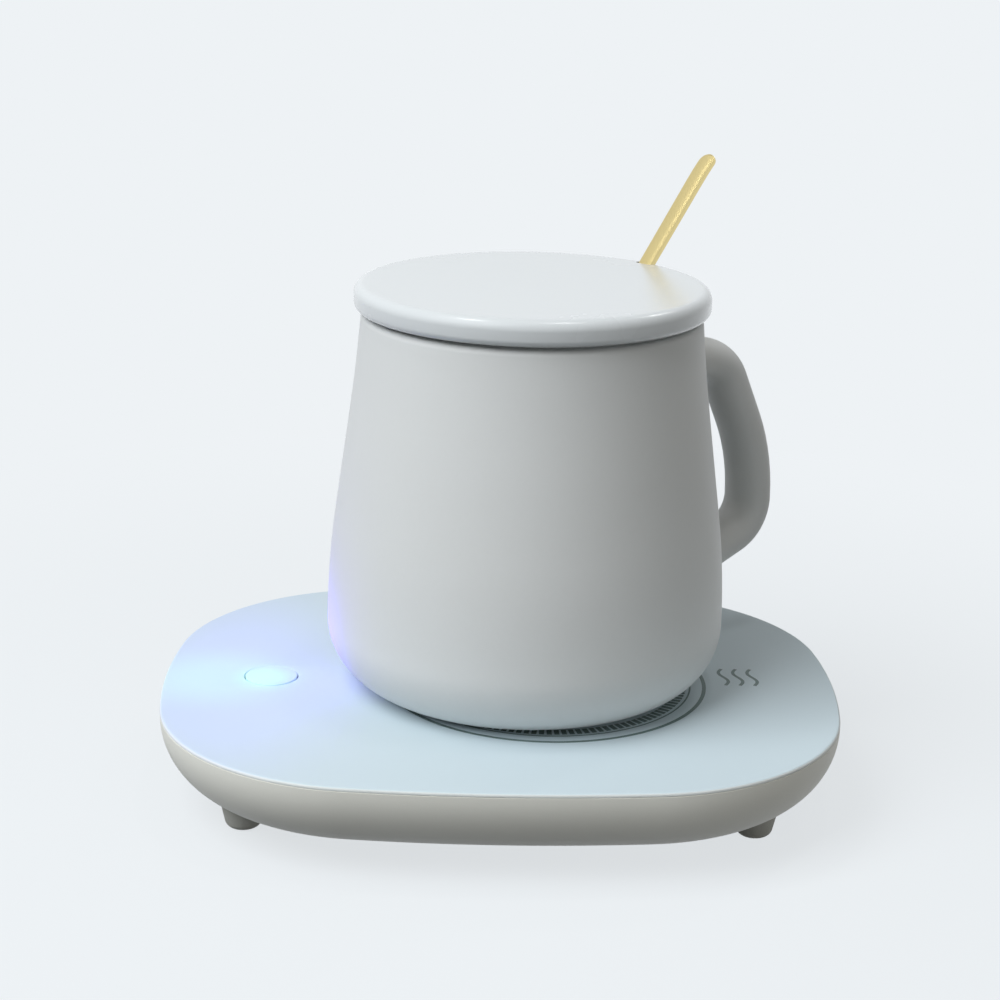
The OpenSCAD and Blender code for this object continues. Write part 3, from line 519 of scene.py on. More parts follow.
def steam_lines_tree():
    """A row of short wavy lines."""
    tree = geometry_tree(
        "Steam Lines", Count=3, Pitch=0.0034, Length=0.0105, Wave=0.0009, Stroke=0.0008,
        Ink=0.00006, Place=(0.0, 0.0, 0.0),
    )
    half = tree.math("MULTIPLY", tree["Length"], 0.5)
    line = tree.put(
        "GeometryNodeCurvePrimitiveLine",
        Start=tree.xyz(Y=tree.math("MULTIPLY", half, -1.0)), End=tree.xyz(Y=half),
    )
    fine = tree.put("GeometryNodeResampleCurve", Curve=line, Count=65)
    along = tree.add("GeometryNodeSplineParameter").outputs["Factor"]
    swing = tree.math("SINE", tree.math("MULTIPLY", along, 2 * math.pi))
    bend = tree.xyz(X=tree.math("MULTIPLY", swing, tree["Wave"]))
    wavy = tree.put("GeometryNodeSetPosition", Geometry=fine, Offset=bend)
    gaps = tree.math("SUBTRACT", tree["Count"], 1.0)
    span = tree.math("MULTIPLY", tree["Pitch"], gaps)
    row = tree.put(
        "GeometryNodeMeshLine", Count=tree["Count"],
        Start_Location=tree.xyz(X=tree.math("MULTIPLY", span, -0.5)),
        Offset=tree.xyz(X=tree["Pitch"]),
    )
    stroke = flat_stroke(tree, wavy, tree["Stroke"])
    return close_marks(tree, tree.put("GeometryNodeInstanceOnPoints", Points=row, Instance=stroke))


# Materials


def shader_group(name, outputs, **inputs):
    kinds = {label: COLOR if label == "Color" else FLOAT for label in outputs}
    return Group(name, "ShaderNodeTree", inputs, kinds)


def vary(g, share, drift, other):
    """Colour and roughness of a group, from the share of its second colour and a drift about a half."""
    g.out("Color", g.blend(share, g["Color"], g[other]))
    shift = g.math("MULTIPLY", g.math("SUBTRACT", drift, 0.5), g["Roughness Spread"])
    g.out("Roughness", g.math("ADD", g["Roughness"], shift, clamp=True))


def surface_grain_group():
    """Cloudy colour and roughness, with a fine grain as height."""
    g = shader_group(
        "Surface Grain", ("Color", "Roughness", "Height"), Color=COLOR, Fleck_Color=COLOR,
        Cloud_Scale=40.0, Grain_Scale=2500.0, Roughness=0.5, Roughness_Spread=0.1,
    )
    where = g.where()
    cloud = g.noise(where, g["Cloud Scale"], 5.0, 0.6)
    grain = g.noise(where, g["Grain Scale"], 2.0)
    both = g.math("ADD", g.math("MULTIPLY", cloud, 0.7), g.math("MULTIPLY", grain, 0.3))
    vary(g, both, cloud, "Fleck Color")
    g.out("Height", grain)
    return g.tree


def brushed_group():
    """Fine lines along the X axis of a turned frame, for drawn and rolled metal."""
    g = shader_group(
        "Brushed Lines", ("Color", "Roughness", "Height"), Turn=(0.0, 0.0, 0.0), Line_Scale=3000.0,
        Color=COLOR, Line_Color=COLOR, Roughness=0.3, Roughness_Spread=0.15,
    )
    where = g.where()
    turned = g.put(
        "ShaderNodeVectorRotate", rotation_type="EULER_XYZ", invert=True,
        Vector=where, Rotation=g["Turn"],
    )
    drawn = g.vector("MULTIPLY", turned, (0.02, 1.0, 1.0))
    lines = g.noise(drawn, g["Line Scale"], 3.0)
    both = g.math("MULTIPLY", g.math("ADD", lines, g.noise(where, 90.0, 4.0)), 0.5)
    vary(g, both, both, "Line Color")
    g.out("Height", lines)
    return g.tree


def lamp_glow_group():
    """Light of the button's lamp, which fades away from a point and adds to the light under it."""
    g = shader_group(
        "Lamp Glow", ("Color",), Under=(0.0, 0.0, 0.0, 1.0), Centre=tuple(BUTTON),
        Stretch=(1.0, 1.0, 1.0), Reach=0.05, Color=COLOR,
    )
    away = g.vector("SUBTRACT", g.where(), g["Centre"])
    distance = g.distance(g.vector("MULTIPLY", away, g["Stretch"]))
    near = g.math("DIVIDE", distance, g["Reach"], clamp=True)
    fade = g.ramp(near, (1.0, 0.0), (0.0, 1.0), "SMOOTHERSTEP")
    lit = g.vector("SCALE", g["Color"], Scale=fade)
    g.out("Color", g.vector("ADD", lit, g["Under"]))
    return g.tree


def glaze_pits_group():
    """Scattered pinholes and a slow wave, as the height of a fired glaze."""
    g = shader_group("Glaze Pits", ("Height",), Pit_Scale=420.0, Wave_Scale=55.0)
    where = g.where()
    cells = g.put("ShaderNodeTexVoronoi", Vector=where, Scale=g["Pit Scale"])
    pit = g.ramp(cells, (0.02, 0.14), (0.0, 0.25))
    g.out("Height", g.math("ADD", pit, g.noise(where, g["Wave Scale"], 2.0)))
    return g.tree


GROUP_MAKERS = {
    "grain": surface_grain_group, "brushed": brushed_group,
    "glow": lamp_glow_group, "pits": glaze_pits_group,
}
GROUPS = {}


def shared_group(key):
    if key not in GROUPS:
        GROUPS[key] = GROUP_MAKERS[key]()
    return GROUPS[key]


def rgba(value, share=1.0):
    return (*(share * v for v in value), 1.0)


def second(base, other):
    """Second colour of a finish, given as a colour or as a share of the first one."""
    return rgba(base, other) if isinstance(other, float) else rgba(other)


class Finish(Tree):
    """Material with one Principled shader, fed by the shared groups."""

    def __init__(self, name, **sockets):
        self.material = bpy.data.materials.new(name)
        self.material.use_nodes = True
        super().__init__(self.material.node_tree)
        self.shader = self.tree.nodes["Principled BSDF"]
        for key, value in sockets.items():
            self.fill(self.shader.inputs[spaced(key)], value)

    def group(self, key, **values):
        return self.add("ShaderNodeGroup", node_tree=shared_group(key), **values).outputs

    def feed(self, socket, output):
        self.tree.links.new(output, self.shader.inputs[socket])

    def bump(self, height, depth, strength=1.0):
        self.feed("Normal", self.put("ShaderNodeBump", Strength=strength, Distance=depth, Height=height))

    def wear(self, group, depth):
        """Takes colour, roughness and, where it has a depth, the relief of a group."""
        self.feed("Base Color", group["Color"])
        self.feed("Roughness", group["Roughness"])
        if depth:
            self.bump(group["Height"], depth)
        return self


def grain_finish(
    name, base, fleck, rough, spread=0.12, cloud=40.0, grain=2500.0, depth=0.00002, **sockets
):
    """Plastic, rubber or glaze."""
    finish = Finish(name, **sockets)
    group = finish.group(
        "grain", Color=rgba(base), Fleck_Color=second(base, fleck), Cloud_Scale=cloud,
        Grain_Scale=grain, Roughness=rough, Roughness_Spread=spread,
    )
    return finish.wear(group, depth)


def brushed_finish(
    name, base, line, rough, spread=0.15, turn_to=(0.0, 0.0, 0.0), scale=3000.0, depth=0.000004
):
    """Drawn or rolled metal."""
    finish = Finish(name, Metallic=1.0)
    group = finish.group(
        "brushed", Color=rgba(base), Line_Color=second(base, line), Roughness=rough,
        Roughness_Spread=spread, Turn=turn_to, Line_Scale=scale,
    )
    return finish.wear(group, depth)


def glaze_finish(name, base, fleck, rough, coat, coat_rough, depth):
    """Fired glaze with a clear coat."""
    finish = grain_finish(
        name, base, fleck, rough, spread=0.10, cloud=28.0, grain=900.0, depth=0.0,
        Coat_Weight=coat, Coat_Roughness=coat_rough, Specular_IOR_Level=0.3,
    )
    finish.bump(finish.group("pits")["Height"], depth, 0.7)
    return finish


def add_glow(finish, *lobes):
    """Light of the lamp on a finish. Each lobe is a colour, a reach, a centre and a stretch."""
    finish.shader.inputs["Emission Strength"].default_value = 1.0
    under = (0.0, 0.0, 0.0, 1.0)
    for tint, reach, centre, stretch in lobes:
        under = finish.group(
            "glow", Under=under, Color=rgba(tint), Reach=reach, Centre=centre, Stretch=stretch
        )["Color"]
    finish.feed("Emission Color", under)


# Base

INNER = 0.8  # share of the corner radius to which the sections of the base run in
LIP = 0.12 * MM
SCREW_STEEL = ((0.58, 0.58, 0.59), (0.42, 0.42, 0.43), 0.34)


def base_outline(sizes):
    """Points and outward normals round the base: bowed ends and sides with tangent corners."""
    end_c = Vector((sizes.half_length - sizes.end_arc, 0.0))
    side_c = Vector((0.0, sizes.half_width - sizes.side_bow))
    r_end, r_side = sizes.end_arc - sizes.corner, sizes.side_bow - sizes.corner
    apart = side_c - end_c
    d = apart.length
    along = (d * d + r_end * r_end - r_side * r_side) / (2 * d)
    off = math.sqrt(r_end * r_end - along * along)
    axis = apart / d
    corner_c = end_c + along * axis + off * Vector((-axis.y, axis.x))
    low = math.degrees(math.atan2(corner_c.y - end_c.y, corner_c.x - end_c.x))
    high = math.degrees(math.atan2(corner_c.y - side_c.y, corner_c.x - side_c.x))
    quarter = []
    for centre, r, start, stop, steps in (
        (end_c, sizes.end_arc, 0.0, low, 10),
        (corner_c, sizes.corner, low, high, 34),
        (side_c, sizes.side_bow, high, 90.0, 15),
    ):
        for k in range(steps):
            a = math.radians(start + (stop - start) * k / steps)
            normal = Vector((math.cos(a), math.sin(a)))
            quarter.append((Vector(centre) + r * normal, normal))
    flip_x, flip_y = Vector((-1.0, 1.0)), Vector((1.0, -1.0))
    top = (Vector((0.0, sizes.half_width)), Vector((0.0, 1.0)))
    half = quarter + [top] + [(p * flip_x, n * flip_x) for p, n in reversed(quarter)]
    back = [(p * flip_y, n * flip_y) for p, n in reversed(half[1:-1])]
    return half + back


def swept_solid(name, sizes, profile):
    """Closed solid from points of inset and height, swept round the base's outline."""
    outline = base_outline(sizes)
    bm = bmesh.new()
    tube(bm, [
        [bm.verts.new((p.x - n.x * inset, p.y - n.y * inset, z)) for p, n in outline]
        for inset, z in profile
    ])
    return to_mesh(bm, name)


def side_profile(sizes, depth):
    """The shell's side, from the floor up to its rim, at a depth in its wall."""
    over, drop = sizes.side_run - sizes.side_arc, sizes.side_top - sizes.underside
    bend = 90 - 2 * math.degrees(math.atan((drop - sizes.side_arc) / over))
    floor_r = sizes.side_arc + over / math.cos(math.radians(bend))
    lower = arc((0.0, 0.0), floor_r - depth, -90, -bend, 14)
    upper = arc((0.0, 0.0), sizes.side_arc - depth, -bend, 0, 26)
    points = [(sizes.side_run, sizes.underside + depth)]
    points += [(sizes.side_run - x, sizes.underside + floor_r + z) for x, z in lower]
    points += [(sizes.side_arc - x, sizes.side_top + z) for x, z in upper]
    return points


def stadium_ring(bm, width, height, y, z):
    """Upright ring of vertices round a slot with half-round ends."""
    half, r, steps = (width - height) / 2, height / 2, 12
    points = []
    for side, start in ((1, -90), (-1, 90)):
        for k in range(steps + 1):
            a = math.radians(start + 180 * k / steps)
            points.append((side * half + r * math.cos(a), r * math.sin(a)))
    return [bm.verts.new((x, y, z + up)) for x, up in points]


def column(bm, r, top, place):
    lathe(bm, [(0, 0), (r, 0), (r, top), (0, top)], 48, place)


def corner_places(place):
    return [(sx * place.x, sy * place.y) for sx in (-1, 1) for sy in (-1, 1)]


def at_corners(name, mesh, material, place):
    values = {"Material": material, "Half X": place.x, "Half Y": place.y}
    return grow(name, mesh, four_corners_tree(), values)


def screw_place(sizes):
    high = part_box("housing_screws")[1]
    return Vector((high.x - sizes.screw_head_d / 2, high.y - sizes.screw_head_d / 2, 0.0))


class WARMER_OT_base_shell(bpy.types.Operator):
    """Moulded bowl-shaped shell with its screw wells, foot pockets and socket recess."""

    bl_idname = "warmer.base_shell"
    bl_label = "Base Shell"

    def execute(self, context):
        s, c = context.scene.warmer_base, context.scene.warmer_colours
        rim, middle = s.top - s.cover_edge, s.corner * INNER
        ledge, shelf, slope = rim - s.cover_step - s.seal, s.wall + s.ledge, 1.6 * MM
        outside = side_profile(s, 0.0) + [(0.0, rim - LIP), (LIP, rim), (middle, rim)]
        shell = swept_solid("base_shell", s, outside)
        inside = [p for p in side_profile(s, s.wall) if p[1] < ledge - s.ledge - slope]
        inside += [(shelf, ledge - MM), (shelf, ledge), (s.wall, ledge), (s.wall, rim + MM)]
        cavity = swept_solid("cavity", s, inside + [(middle, rim + MM)])
        kept, cuts = bmesh.new(), bmesh.new()
        seat = s.underside + s.screw_recess
        boss, boss_top = 4.5 * MM, seat + 3 * MM
        well, hole, hole_top = s.screw_head_d / 2 + 0.2 * MM, 1.7 * MM, seat + 9 * MM
        bore = [(0, 0), (well, 0), (well, seat), (hole, seat), (hole, hole_top), (0, hole_top)]
        for place in corner_places(screw_place(s)):
            column(kept, boss, boss_top, place)
            lathe(cuts, bore, 48, place)
        pad, pad_top = 6 * MM, FOOT_TOP + 1.8 * MM
        pocket = s.foot_d / 2 + s.foot_flare + 0.05 * MM
        for place in corner_places(FOOT):
            column(kept, pad, pad_top, place)
            column(cuts, pocket, FOOT_TOP, place)
        low, high = SOCKET
        socket_z, frame_y = (low.z + high.z) / 2, high.y - 2.6 * MM
        frame_x, frame_drop, play = 8.7 * MM, 5.7 * MM, 0.4 * MM
        frame_low = (-frame_x, frame_y, socket_z - frame_drop)
        block(kept, frame_low, (frame_x, s.half_width + 5 * MM, ledge - MM))
        tight = (high.x - low.x + play, high.z - low.z + play)
        wide, flared = (13 * MM, 7 * MM), (14.2 * MM, 8.2 * MM)
        sections = (
            (tight, frame_y - MM), (tight, high.y), (wide, high.y), (wide, high.y + 1.2 * MM),
            (flared, s.half_width + 1.5 * MM),
        )
        tube(cuts, [stadium_ring(cuts, *size, y, socket_z) for size, y in sections])
        cavity = combine(cavity, to_mesh(kept, "kept"), "DIFFERENCE")
        for cutter in (cavity, to_mesh(cuts, "cuts")):
            shell = combine(shell, cutter, "DIFFERENCE")
        paint = grain_finish(
            "Shell Plastic", c.shell, c.shell_fleck, rough=0.46, cloud=30.0, grain=3200.0, depth=0.000025
        )
        finish_piece("base_shell_moulded", shell, "base", paint.material, ["base_shell"])
        return {"FINISHED"}


def cover_lobes(s, c):
    """Light of the lamp: a wide halo, a smear towards the end of the base and a bright core."""
    halo = (c.glow_halo, 0.058, (BUTTON.x - 8 * MM, BUTTON.y, s.top), (1.5, 0.65, 50.0))
    smear = (c.glow_core, 0.026, (BUTTON.x - 13 * MM, BUTTON.y - 2 * MM, s.top), (0.85, 1.0, 20.0))
    bright = [1.6 * v for v in c.glow_core]
    core = (bright, 0.0105, (BUTTON.x - 1.2 * MM, BUTTON.y - 1.5 * MM, s.top), (1.0, 0.9, 6.0))
    return halo, smear, core


def painted_rim_highlight(finish, tint, low, high):
    """Painted highlight: a paler colour on the part of a piece that lies below its flat face, standing in
    for the light that its rounded edge catches.
    """
    under = finish.shader.inputs["Base Color"].links[0].from_socket
    share = finish.ramp(finish.height(), (low, high), (1.0, 0.0))
    finish.feed("Base Color", finish.blend(share, under, rgba(tint)))


class WARMER_OT_top_cover(bpy.types.Operator):
    """Flat cover with a rounded edge and the hole for the button, lit by the lamp under it."""

    bl_idname = "warmer.top_cover"
    bl_label = "Top Cover"

    def execute(self, context):
        s, c = context.scene.warmer_base, context.scene.warmer_colours
        rim, middle = s.top - s.cover_edge, s.corner * INNER
        step, low, turn_z = s.wall + 0.2 * MM, rim - s.cover_step, s.top - s.cover_round
        profile = [
            (middle, low), (step, low), (step, rim), (LIP, rim), (0.0, rim + LIP), (0.0, turn_z)
        ]
        profile += [(-x, z) for x, z in arc((-s.cover_round, turn_z), s.cover_round, 0, 90, 8)]
        profile += [(s.cover_round + 0.3 * MM, s.top), (middle, s.top)]
        cover = swept_solid("top_cover", s, profile)
        hole, ease, below = s.button_d / 2 + s.button_gap, 0.25 * MM, rim - 5 * MM
        cutter = [(0.0, below), (hole, below), (hole, s.top - ease)]
        cutter += arc((hole + ease, s.top - ease), ease, 180, 90, 5)
        cutter += [(hole + ease, s.top + MM), (0.0, s.top + MM)]
        cover = combine(cover, lathe_mesh("hole", cutter, steps=96, centre=BUTTON.xy), "DIFFERENCE")
        paint = grain_finish(
            "Cover Plastic", c.cover, c.cover_fleck, rough=0.48, spread=0.08, cloud=22.0, grain=2600.0,
            depth=0.000006, Specular_IOR_Level=0.3,
        )
        # The cover's edge is painted paler, as the highlight along its rounded edge
        painted_rim_highlight(paint, c.cover_rim_highlight, s.top - 0.5 * s.cover_round, s.top - 0.05 * s.cover_round)
        add_glow(paint, *cover_lobes(s, c))
        finish_piece("top_cover_moulded", cover, "base", paint.material, ["top_cover"])
        return {"FINISHED"}


class WARMER_OT_printed_marks(bpy.types.Operator):
    """Printed ring with its scale where the mug stands, and a small steam sign beside it."""

    bl_idname = "warmer.printed_marks"
    bl_label = "Printed Marks"

    def execute(self, context):
        s, c = context.scene.warmer_base, context.scene.warmer_colours
        ink = grain_finish(
            "Print Ink", c.print_ink, fleck=1.5, rough=0.5, cloud=300.0, grain=4000.0, depth=0.000004
        ).material
        seat = (HEATER.x, HEATER.y, s.top)
        beside = (HEATER.x + s.ring_r + 8.5 * MM, HEATER.y + 4 * MM, s.top)
        ring = {"Radius": s.ring_r, "Marks": s.ring_ticks}
        for name, tree, place, values in (
            ("seat_marks", seat_marks_tree(), seat, ring),
            ("steam_sign", steam_lines_tree(), beside, {}),
        ):
            values = {"Material": ink, "Place": place, **values}
            mesh = grow(name, bpy.data.meshes.new("empty"), tree, values)
            finish_piece(name, mesh, "base", ink, [])
        return {"FINISHED"}


class WARMER_OT_feet(bpy.types.Operator):
    """Four rubber feet with rounded lower edges."""

    bl_idname = "warmer.feet"
    bl_label = "Feet"

    def execute(self, context):
        s, c = context.scene.warmer_base, context.scene.warmer_colours
        r, hollow, grown = s.foot_d / 2, 0.25 * MM, s.underside + 0.5 * MM
        wide, flat = r + s.foot_flare, r - s.foot_round
        hollow_in, hollow_out = r * 0.33, r * 0.40
        profile = [(0.0, hollow), (hollow_in, hollow), (hollow_out, 0.0), (flat, 0.0)]
        profile += arc((flat, s.foot_round), s.foot_round, -90, -14, 10)
        profile += [(wide, grown), (wide, FOOT_TOP), (0.0, FOOT_TOP)]
        paint = grain_finish(
            "Foot Rubber", c.rubber, fleck=0.82, rough=0.68, cloud=120.0, grain=3500.0, depth=0.00004
        ).material
        mesh = at_corners("feet", lathe_mesh("foot", profile, steps=64), paint, FOOT)
        finish_piece("rubber_feet", mesh, "base", paint, FEET)
        return {"FINISHED"}


class WARMER_OT_housing_screws(bpy.types.Operator):
    """Four screws with a cross recess in the wells under the base."""

    bl_idname = "warmer.housing_screws"
    bl_label = "Housing Screws"

    def execute(self, context):
        s = context.scene.warmer_base
        low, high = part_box("housing_screws")
        r, shank, head_top = s.screw_head_d / 2, 1.5 * MM, s.underside + s.screw_recess
        dome, dome_share, pitch, groove = 0.45 * MM, 0.92, 0.5 * MM, 0.22 * MM
        turns = [math.radians(a) for a in (15, 30, 45, 60, 75, 90)]
        profile = [(0.0, low.z)]
        profile += [(r * math.sin(a) * dome_share, low.z + dome * (1 - math.cos(a))) for a in turns]
        profile += [(r, low.z + dome + 0.3 * MM), (r, head_top), (shank, head_top)]
        for k in range(int((high.z - head_top - MM) / pitch)):
            z = head_top + (k + 0.5) * pitch
            profile += [(shank, z), (shank - groove, z + pitch / 2)]
        profile += [(shank, high.z - 0.6 * MM), (0.3 * MM, high.z), (0.0, high.z)]
        arm, half, under, deep = 1.5 * MM, 0.36 * MM, low.z - MM, low.z + 1.1 * MM
        cross = block_mesh("cross", (-arm, -half, under), (arm, half, deep))
        tall = block_mesh("tall", (-half, -arm, under), (half, arm, deep))
        recess = combine(cross, tall, "UNION")
        screw = combine(lathe_mesh("screw", profile, steps=48), recess, "DIFFERENCE")
        paint = brushed_finish("Screw Steel", *SCREW_STEEL).material
        mesh = at_corners("screws", screw, paint, screw_place(s))
        finish_piece("housing_screws_cross", mesh, "base", paint, ["housing_screws"])
        return {"FINISHED"}


class WARMER_OT_button(bpy.types.Operator):
    """Round button with a dished face, lit from below."""

    bl_idname = "warmer.button"
    bl_label = "Button"

    def execute(self, context):
        s, c = context.scene.warmer_base, context.scene.warmer_colours
        low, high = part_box("button_cap")
        flange, r, face = (high.x - low.x) / 2, s.button_d / 2, s.top + s.button_rise
        ease, skin, stem, dip = 0.2 * MM, 1.4 * MM, 1.7 * MM, 0.12 * MM
        under = s.top - s.cover_edge - s.cover_step - 0.1 * MM
        profile = [(0.0, low.z), (stem, low.z), (stem, face - skin), (r - skin, face - skin)]
        profile += [(r - skin, under - skin), (flange, under - skin), (flange, under), (r, under)]
        profile += [(r, face - ease), *arc((r - ease, face - ease), ease, 0, 90, 6)]
        profile += [(r * 0.9 * k / 10, face - dip * (1 - (k / 10) ** 2)) for k in range(10, -1, -1)]
        mesh = lathe_mesh("button", profile, steps=112, centre=BUTTON.xy)
        paint = grain_finish(
            "Button Plastic", c.cover, c.cover_fleck, rough=0.40, cloud=160.0, grain=3000.0,
            depth=0.000005, Specular_IOR_Level=0.4,
        )
        add_glow(paint, *cover_lobes(s, c))
        finish_piece("button_lit", mesh, "button", paint.material, ["button_cap"])
        return {"FINISHED"}


# Mug, lid and spoon


def mug_curves(s):
    """Centres and radii that the mug's sections share, measured from its own foot."""
    t = s.taper
    lean = Vector((math.cos(t), math.sin(t)))
    belly_top = Vector((s.belly - s.belly_arc * (1 - lean.x), s.corner + s.belly_arc * lean.y))
    cone_top = belly_top + Vector((-s.cone_rise * math.tan(t), s.cone_rise))
    neck_c = cone_top + s.neck_arc * lean
    rim_z = s.height - s.rim_round
    rim_x = neck_c.x - math.sqrt((s.neck_arc + s.rim_round) ** 2 - (neck_c.y - rim_z) ** 2)
    mouth = neck_c.x - math.sqrt((s.neck_arc + s.wall) ** 2 - (neck_c.y - s.height) ** 2)
    return lean, cone_top, neck_c, Vector((rim_x, rim_z)), mouth


def mug_section(s, foot_z):
    """Half section of the mug, from under its foot, up its outside and down its inside."""
    lean, cone_top, neck_c, rim_c, mouth = mug_curves(s)
    flat = s.belly - s.corner
    degrees = math.degrees(s.taper)
    ring, hollow, soft, lip = 4 * MM, MM, 0.5 * MM, 0.9 * MM
    rim_from = math.degrees(math.atan2(neck_c.y - rim_c.y, neck_c.x - rim_c.x))
    lip_c = Vector((mouth + lip, s.height - lip))
    mouth_from = math.degrees(math.asin((neck_c.y - lip_c.y) / (s.neck_arc + s.wall)))
    corner_c, belly_c = (flat, s.corner), (s.belly - s.belly_arc, s.corner)
    points = [(0.0, hollow), (flat - ring - soft, hollow), (flat - ring, hollow - soft)]
    points += [(flat - ring + soft, 0.0), (flat - 1.2 * MM, 0.0), (flat, 0.0)]
    points += arc(corner_c, s.corner, -90, 0, 30)
    points += arc(belly_c, s.belly_arc, 0, degrees, 16)
    straight = Vector(points[-1])
    points += [tuple(straight.lerp(cone_top, k / 12)) for k in range(1, 13)]
    points += arc(neck_c, s.neck_arc, 180 + degrees, 180 + rim_from, 14)
    points += arc(rim_c, s.rim_round, rim_from, 90, 10)
    points += [(lip_c.x, s.height)]
    points += arc(lip_c, lip, 90, 180, 6)
    inner = [(flat * 0.35, s.wall), (flat * 0.7, s.wall), (flat, s.wall)]
    inner += arc(corner_c, s.corner - s.wall, -90, 0, 22)
    inner += arc(belly_c, s.belly_arc - s.wall, 0, degrees, 12)
    low, top = Vector(inner[-1]), cone_top - s.wall * lean
    inner += [tuple(low.lerp(top, k / 10)) for k in range(1, 11)]
    inner += arc(neck_c, s.neck_arc + s.wall, 180 + degrees, 180 + mouth_from, 12)[:-1]
    points += inner[::-1] + [(0.0, s.wall)]
    return [(r, z + foot_z) for r, z in points]


def handle_path(s):
    """Points of the handle's middle line, as distance from the mug's axis and height."""
    top_turn, low_turn = 64.0, 70.0
    p, heading = Vector((mug_curves(s)[3].x, s.handle_top)), 0.0
    points = [p.copy()]
    # Runs and radii, each with the degrees it bends. The last run goes on into the wall.
    for size, bend in (
        (13.5 * MM, 0.0), (10.5 * MM, top_turn), (12 * MM, 0.0), (47 * MM, 90 - top_turn),
        (9.5 * MM, low_turn), (None, 0.0),
    ):
        a = math.radians(heading)
        if bend == 0.0:
            run = size or (p.x - s.belly + s.wall / 2) / -math.cos(a)
            count = max(2, round(run / MM))
            ahead = Vector((math.cos(a), math.sin(a))) * run
            points += [p + ahead * k / count for k in range(1, count + 1)]
        else:
            c = p + size * Vector((math.sin(a), -math.cos(a)))
            count = max(6, round(bend / 3.5))
            for k in range(1, count + 1):
                b = math.radians(heading - bend * k / count)
                points.append(c + size * Vector((-math.sin(b), math.cos(b))))
            heading -= bend
        p = points[-1].copy()
    return points


class WARMER_OT_mug(bpy.types.Operator):
    """Ceramic mug with its ear handle, glazed all over."""

    bl_idname = "warmer.mug"
    bl_label = "Mug"

    def execute(self, context):
        s, c = context.scene.warmer_mug, context.scene.warmer_colours
        paint = glaze_finish(
            "Mug Glaze", c.mug, c.mug_fleck, rough=0.5, coat=0.08, coat_rough=0.3, depth=0.00004
        ).material
        body = lathe_mesh("mug", mug_section(s, MUG_FOOT), steps=192, centre=MUG_AXIS)
        out = Vector((math.cos(s.handle_turn), math.sin(s.handle_turn), 0.0))
        line = bpy.data.meshes.new("handle_line")
        points = [Vector((*MUG_AXIS, MUG_FOOT + p.y)) + out * p.x for p in handle_path(s)]
        line.from_pydata(points, [(k, k + 1) for k in range(len(points) - 1)], [])
        bar = grow("handle", line, handle_tree(), {
            "Material": paint, "Thickness": s.handle_thick, "Width": s.handle_width,
            "Flare": s.handle_flare, "Root": 2.6 * MM, "Reach": 5 * MM,
            "Plane Normal": (-out.y, out.x, 0.0),
        })
        bm = bmesh.new()
        bm.from_mesh(bar)
        mesh = combine(body, to_mesh(bm, "bar"), "UNION")
        finish_piece("mug_glazed", mesh, "mug", paint, ["mug"], sharp=50.0)
        return {"FINISHED"}


def spoon_seat(s):
    """Foot point, normal and rest on the rim of the spoon, in the upright plane that it leans in."""
    along = Vector((math.sin(s.spoon_lean), math.cos(s.spoon_lean)))
    normal = Vector((-along.y, along.x))
    gap = 0.7 * MM
    rest = Vector((mug_curves(s)[4] + 0.35 * MM, s.height)) + gap * normal
    far = Vector((s.corner - s.belly, s.corner))
    far_r = s.corner - s.wall - gap
    to_rest = rest - far
    reach = to_rest.dot(along)
    depth = reach + math.sqrt(reach * reach - to_rest.length_squared + far_r * far_r)
    return rest - depth * along, normal, rest


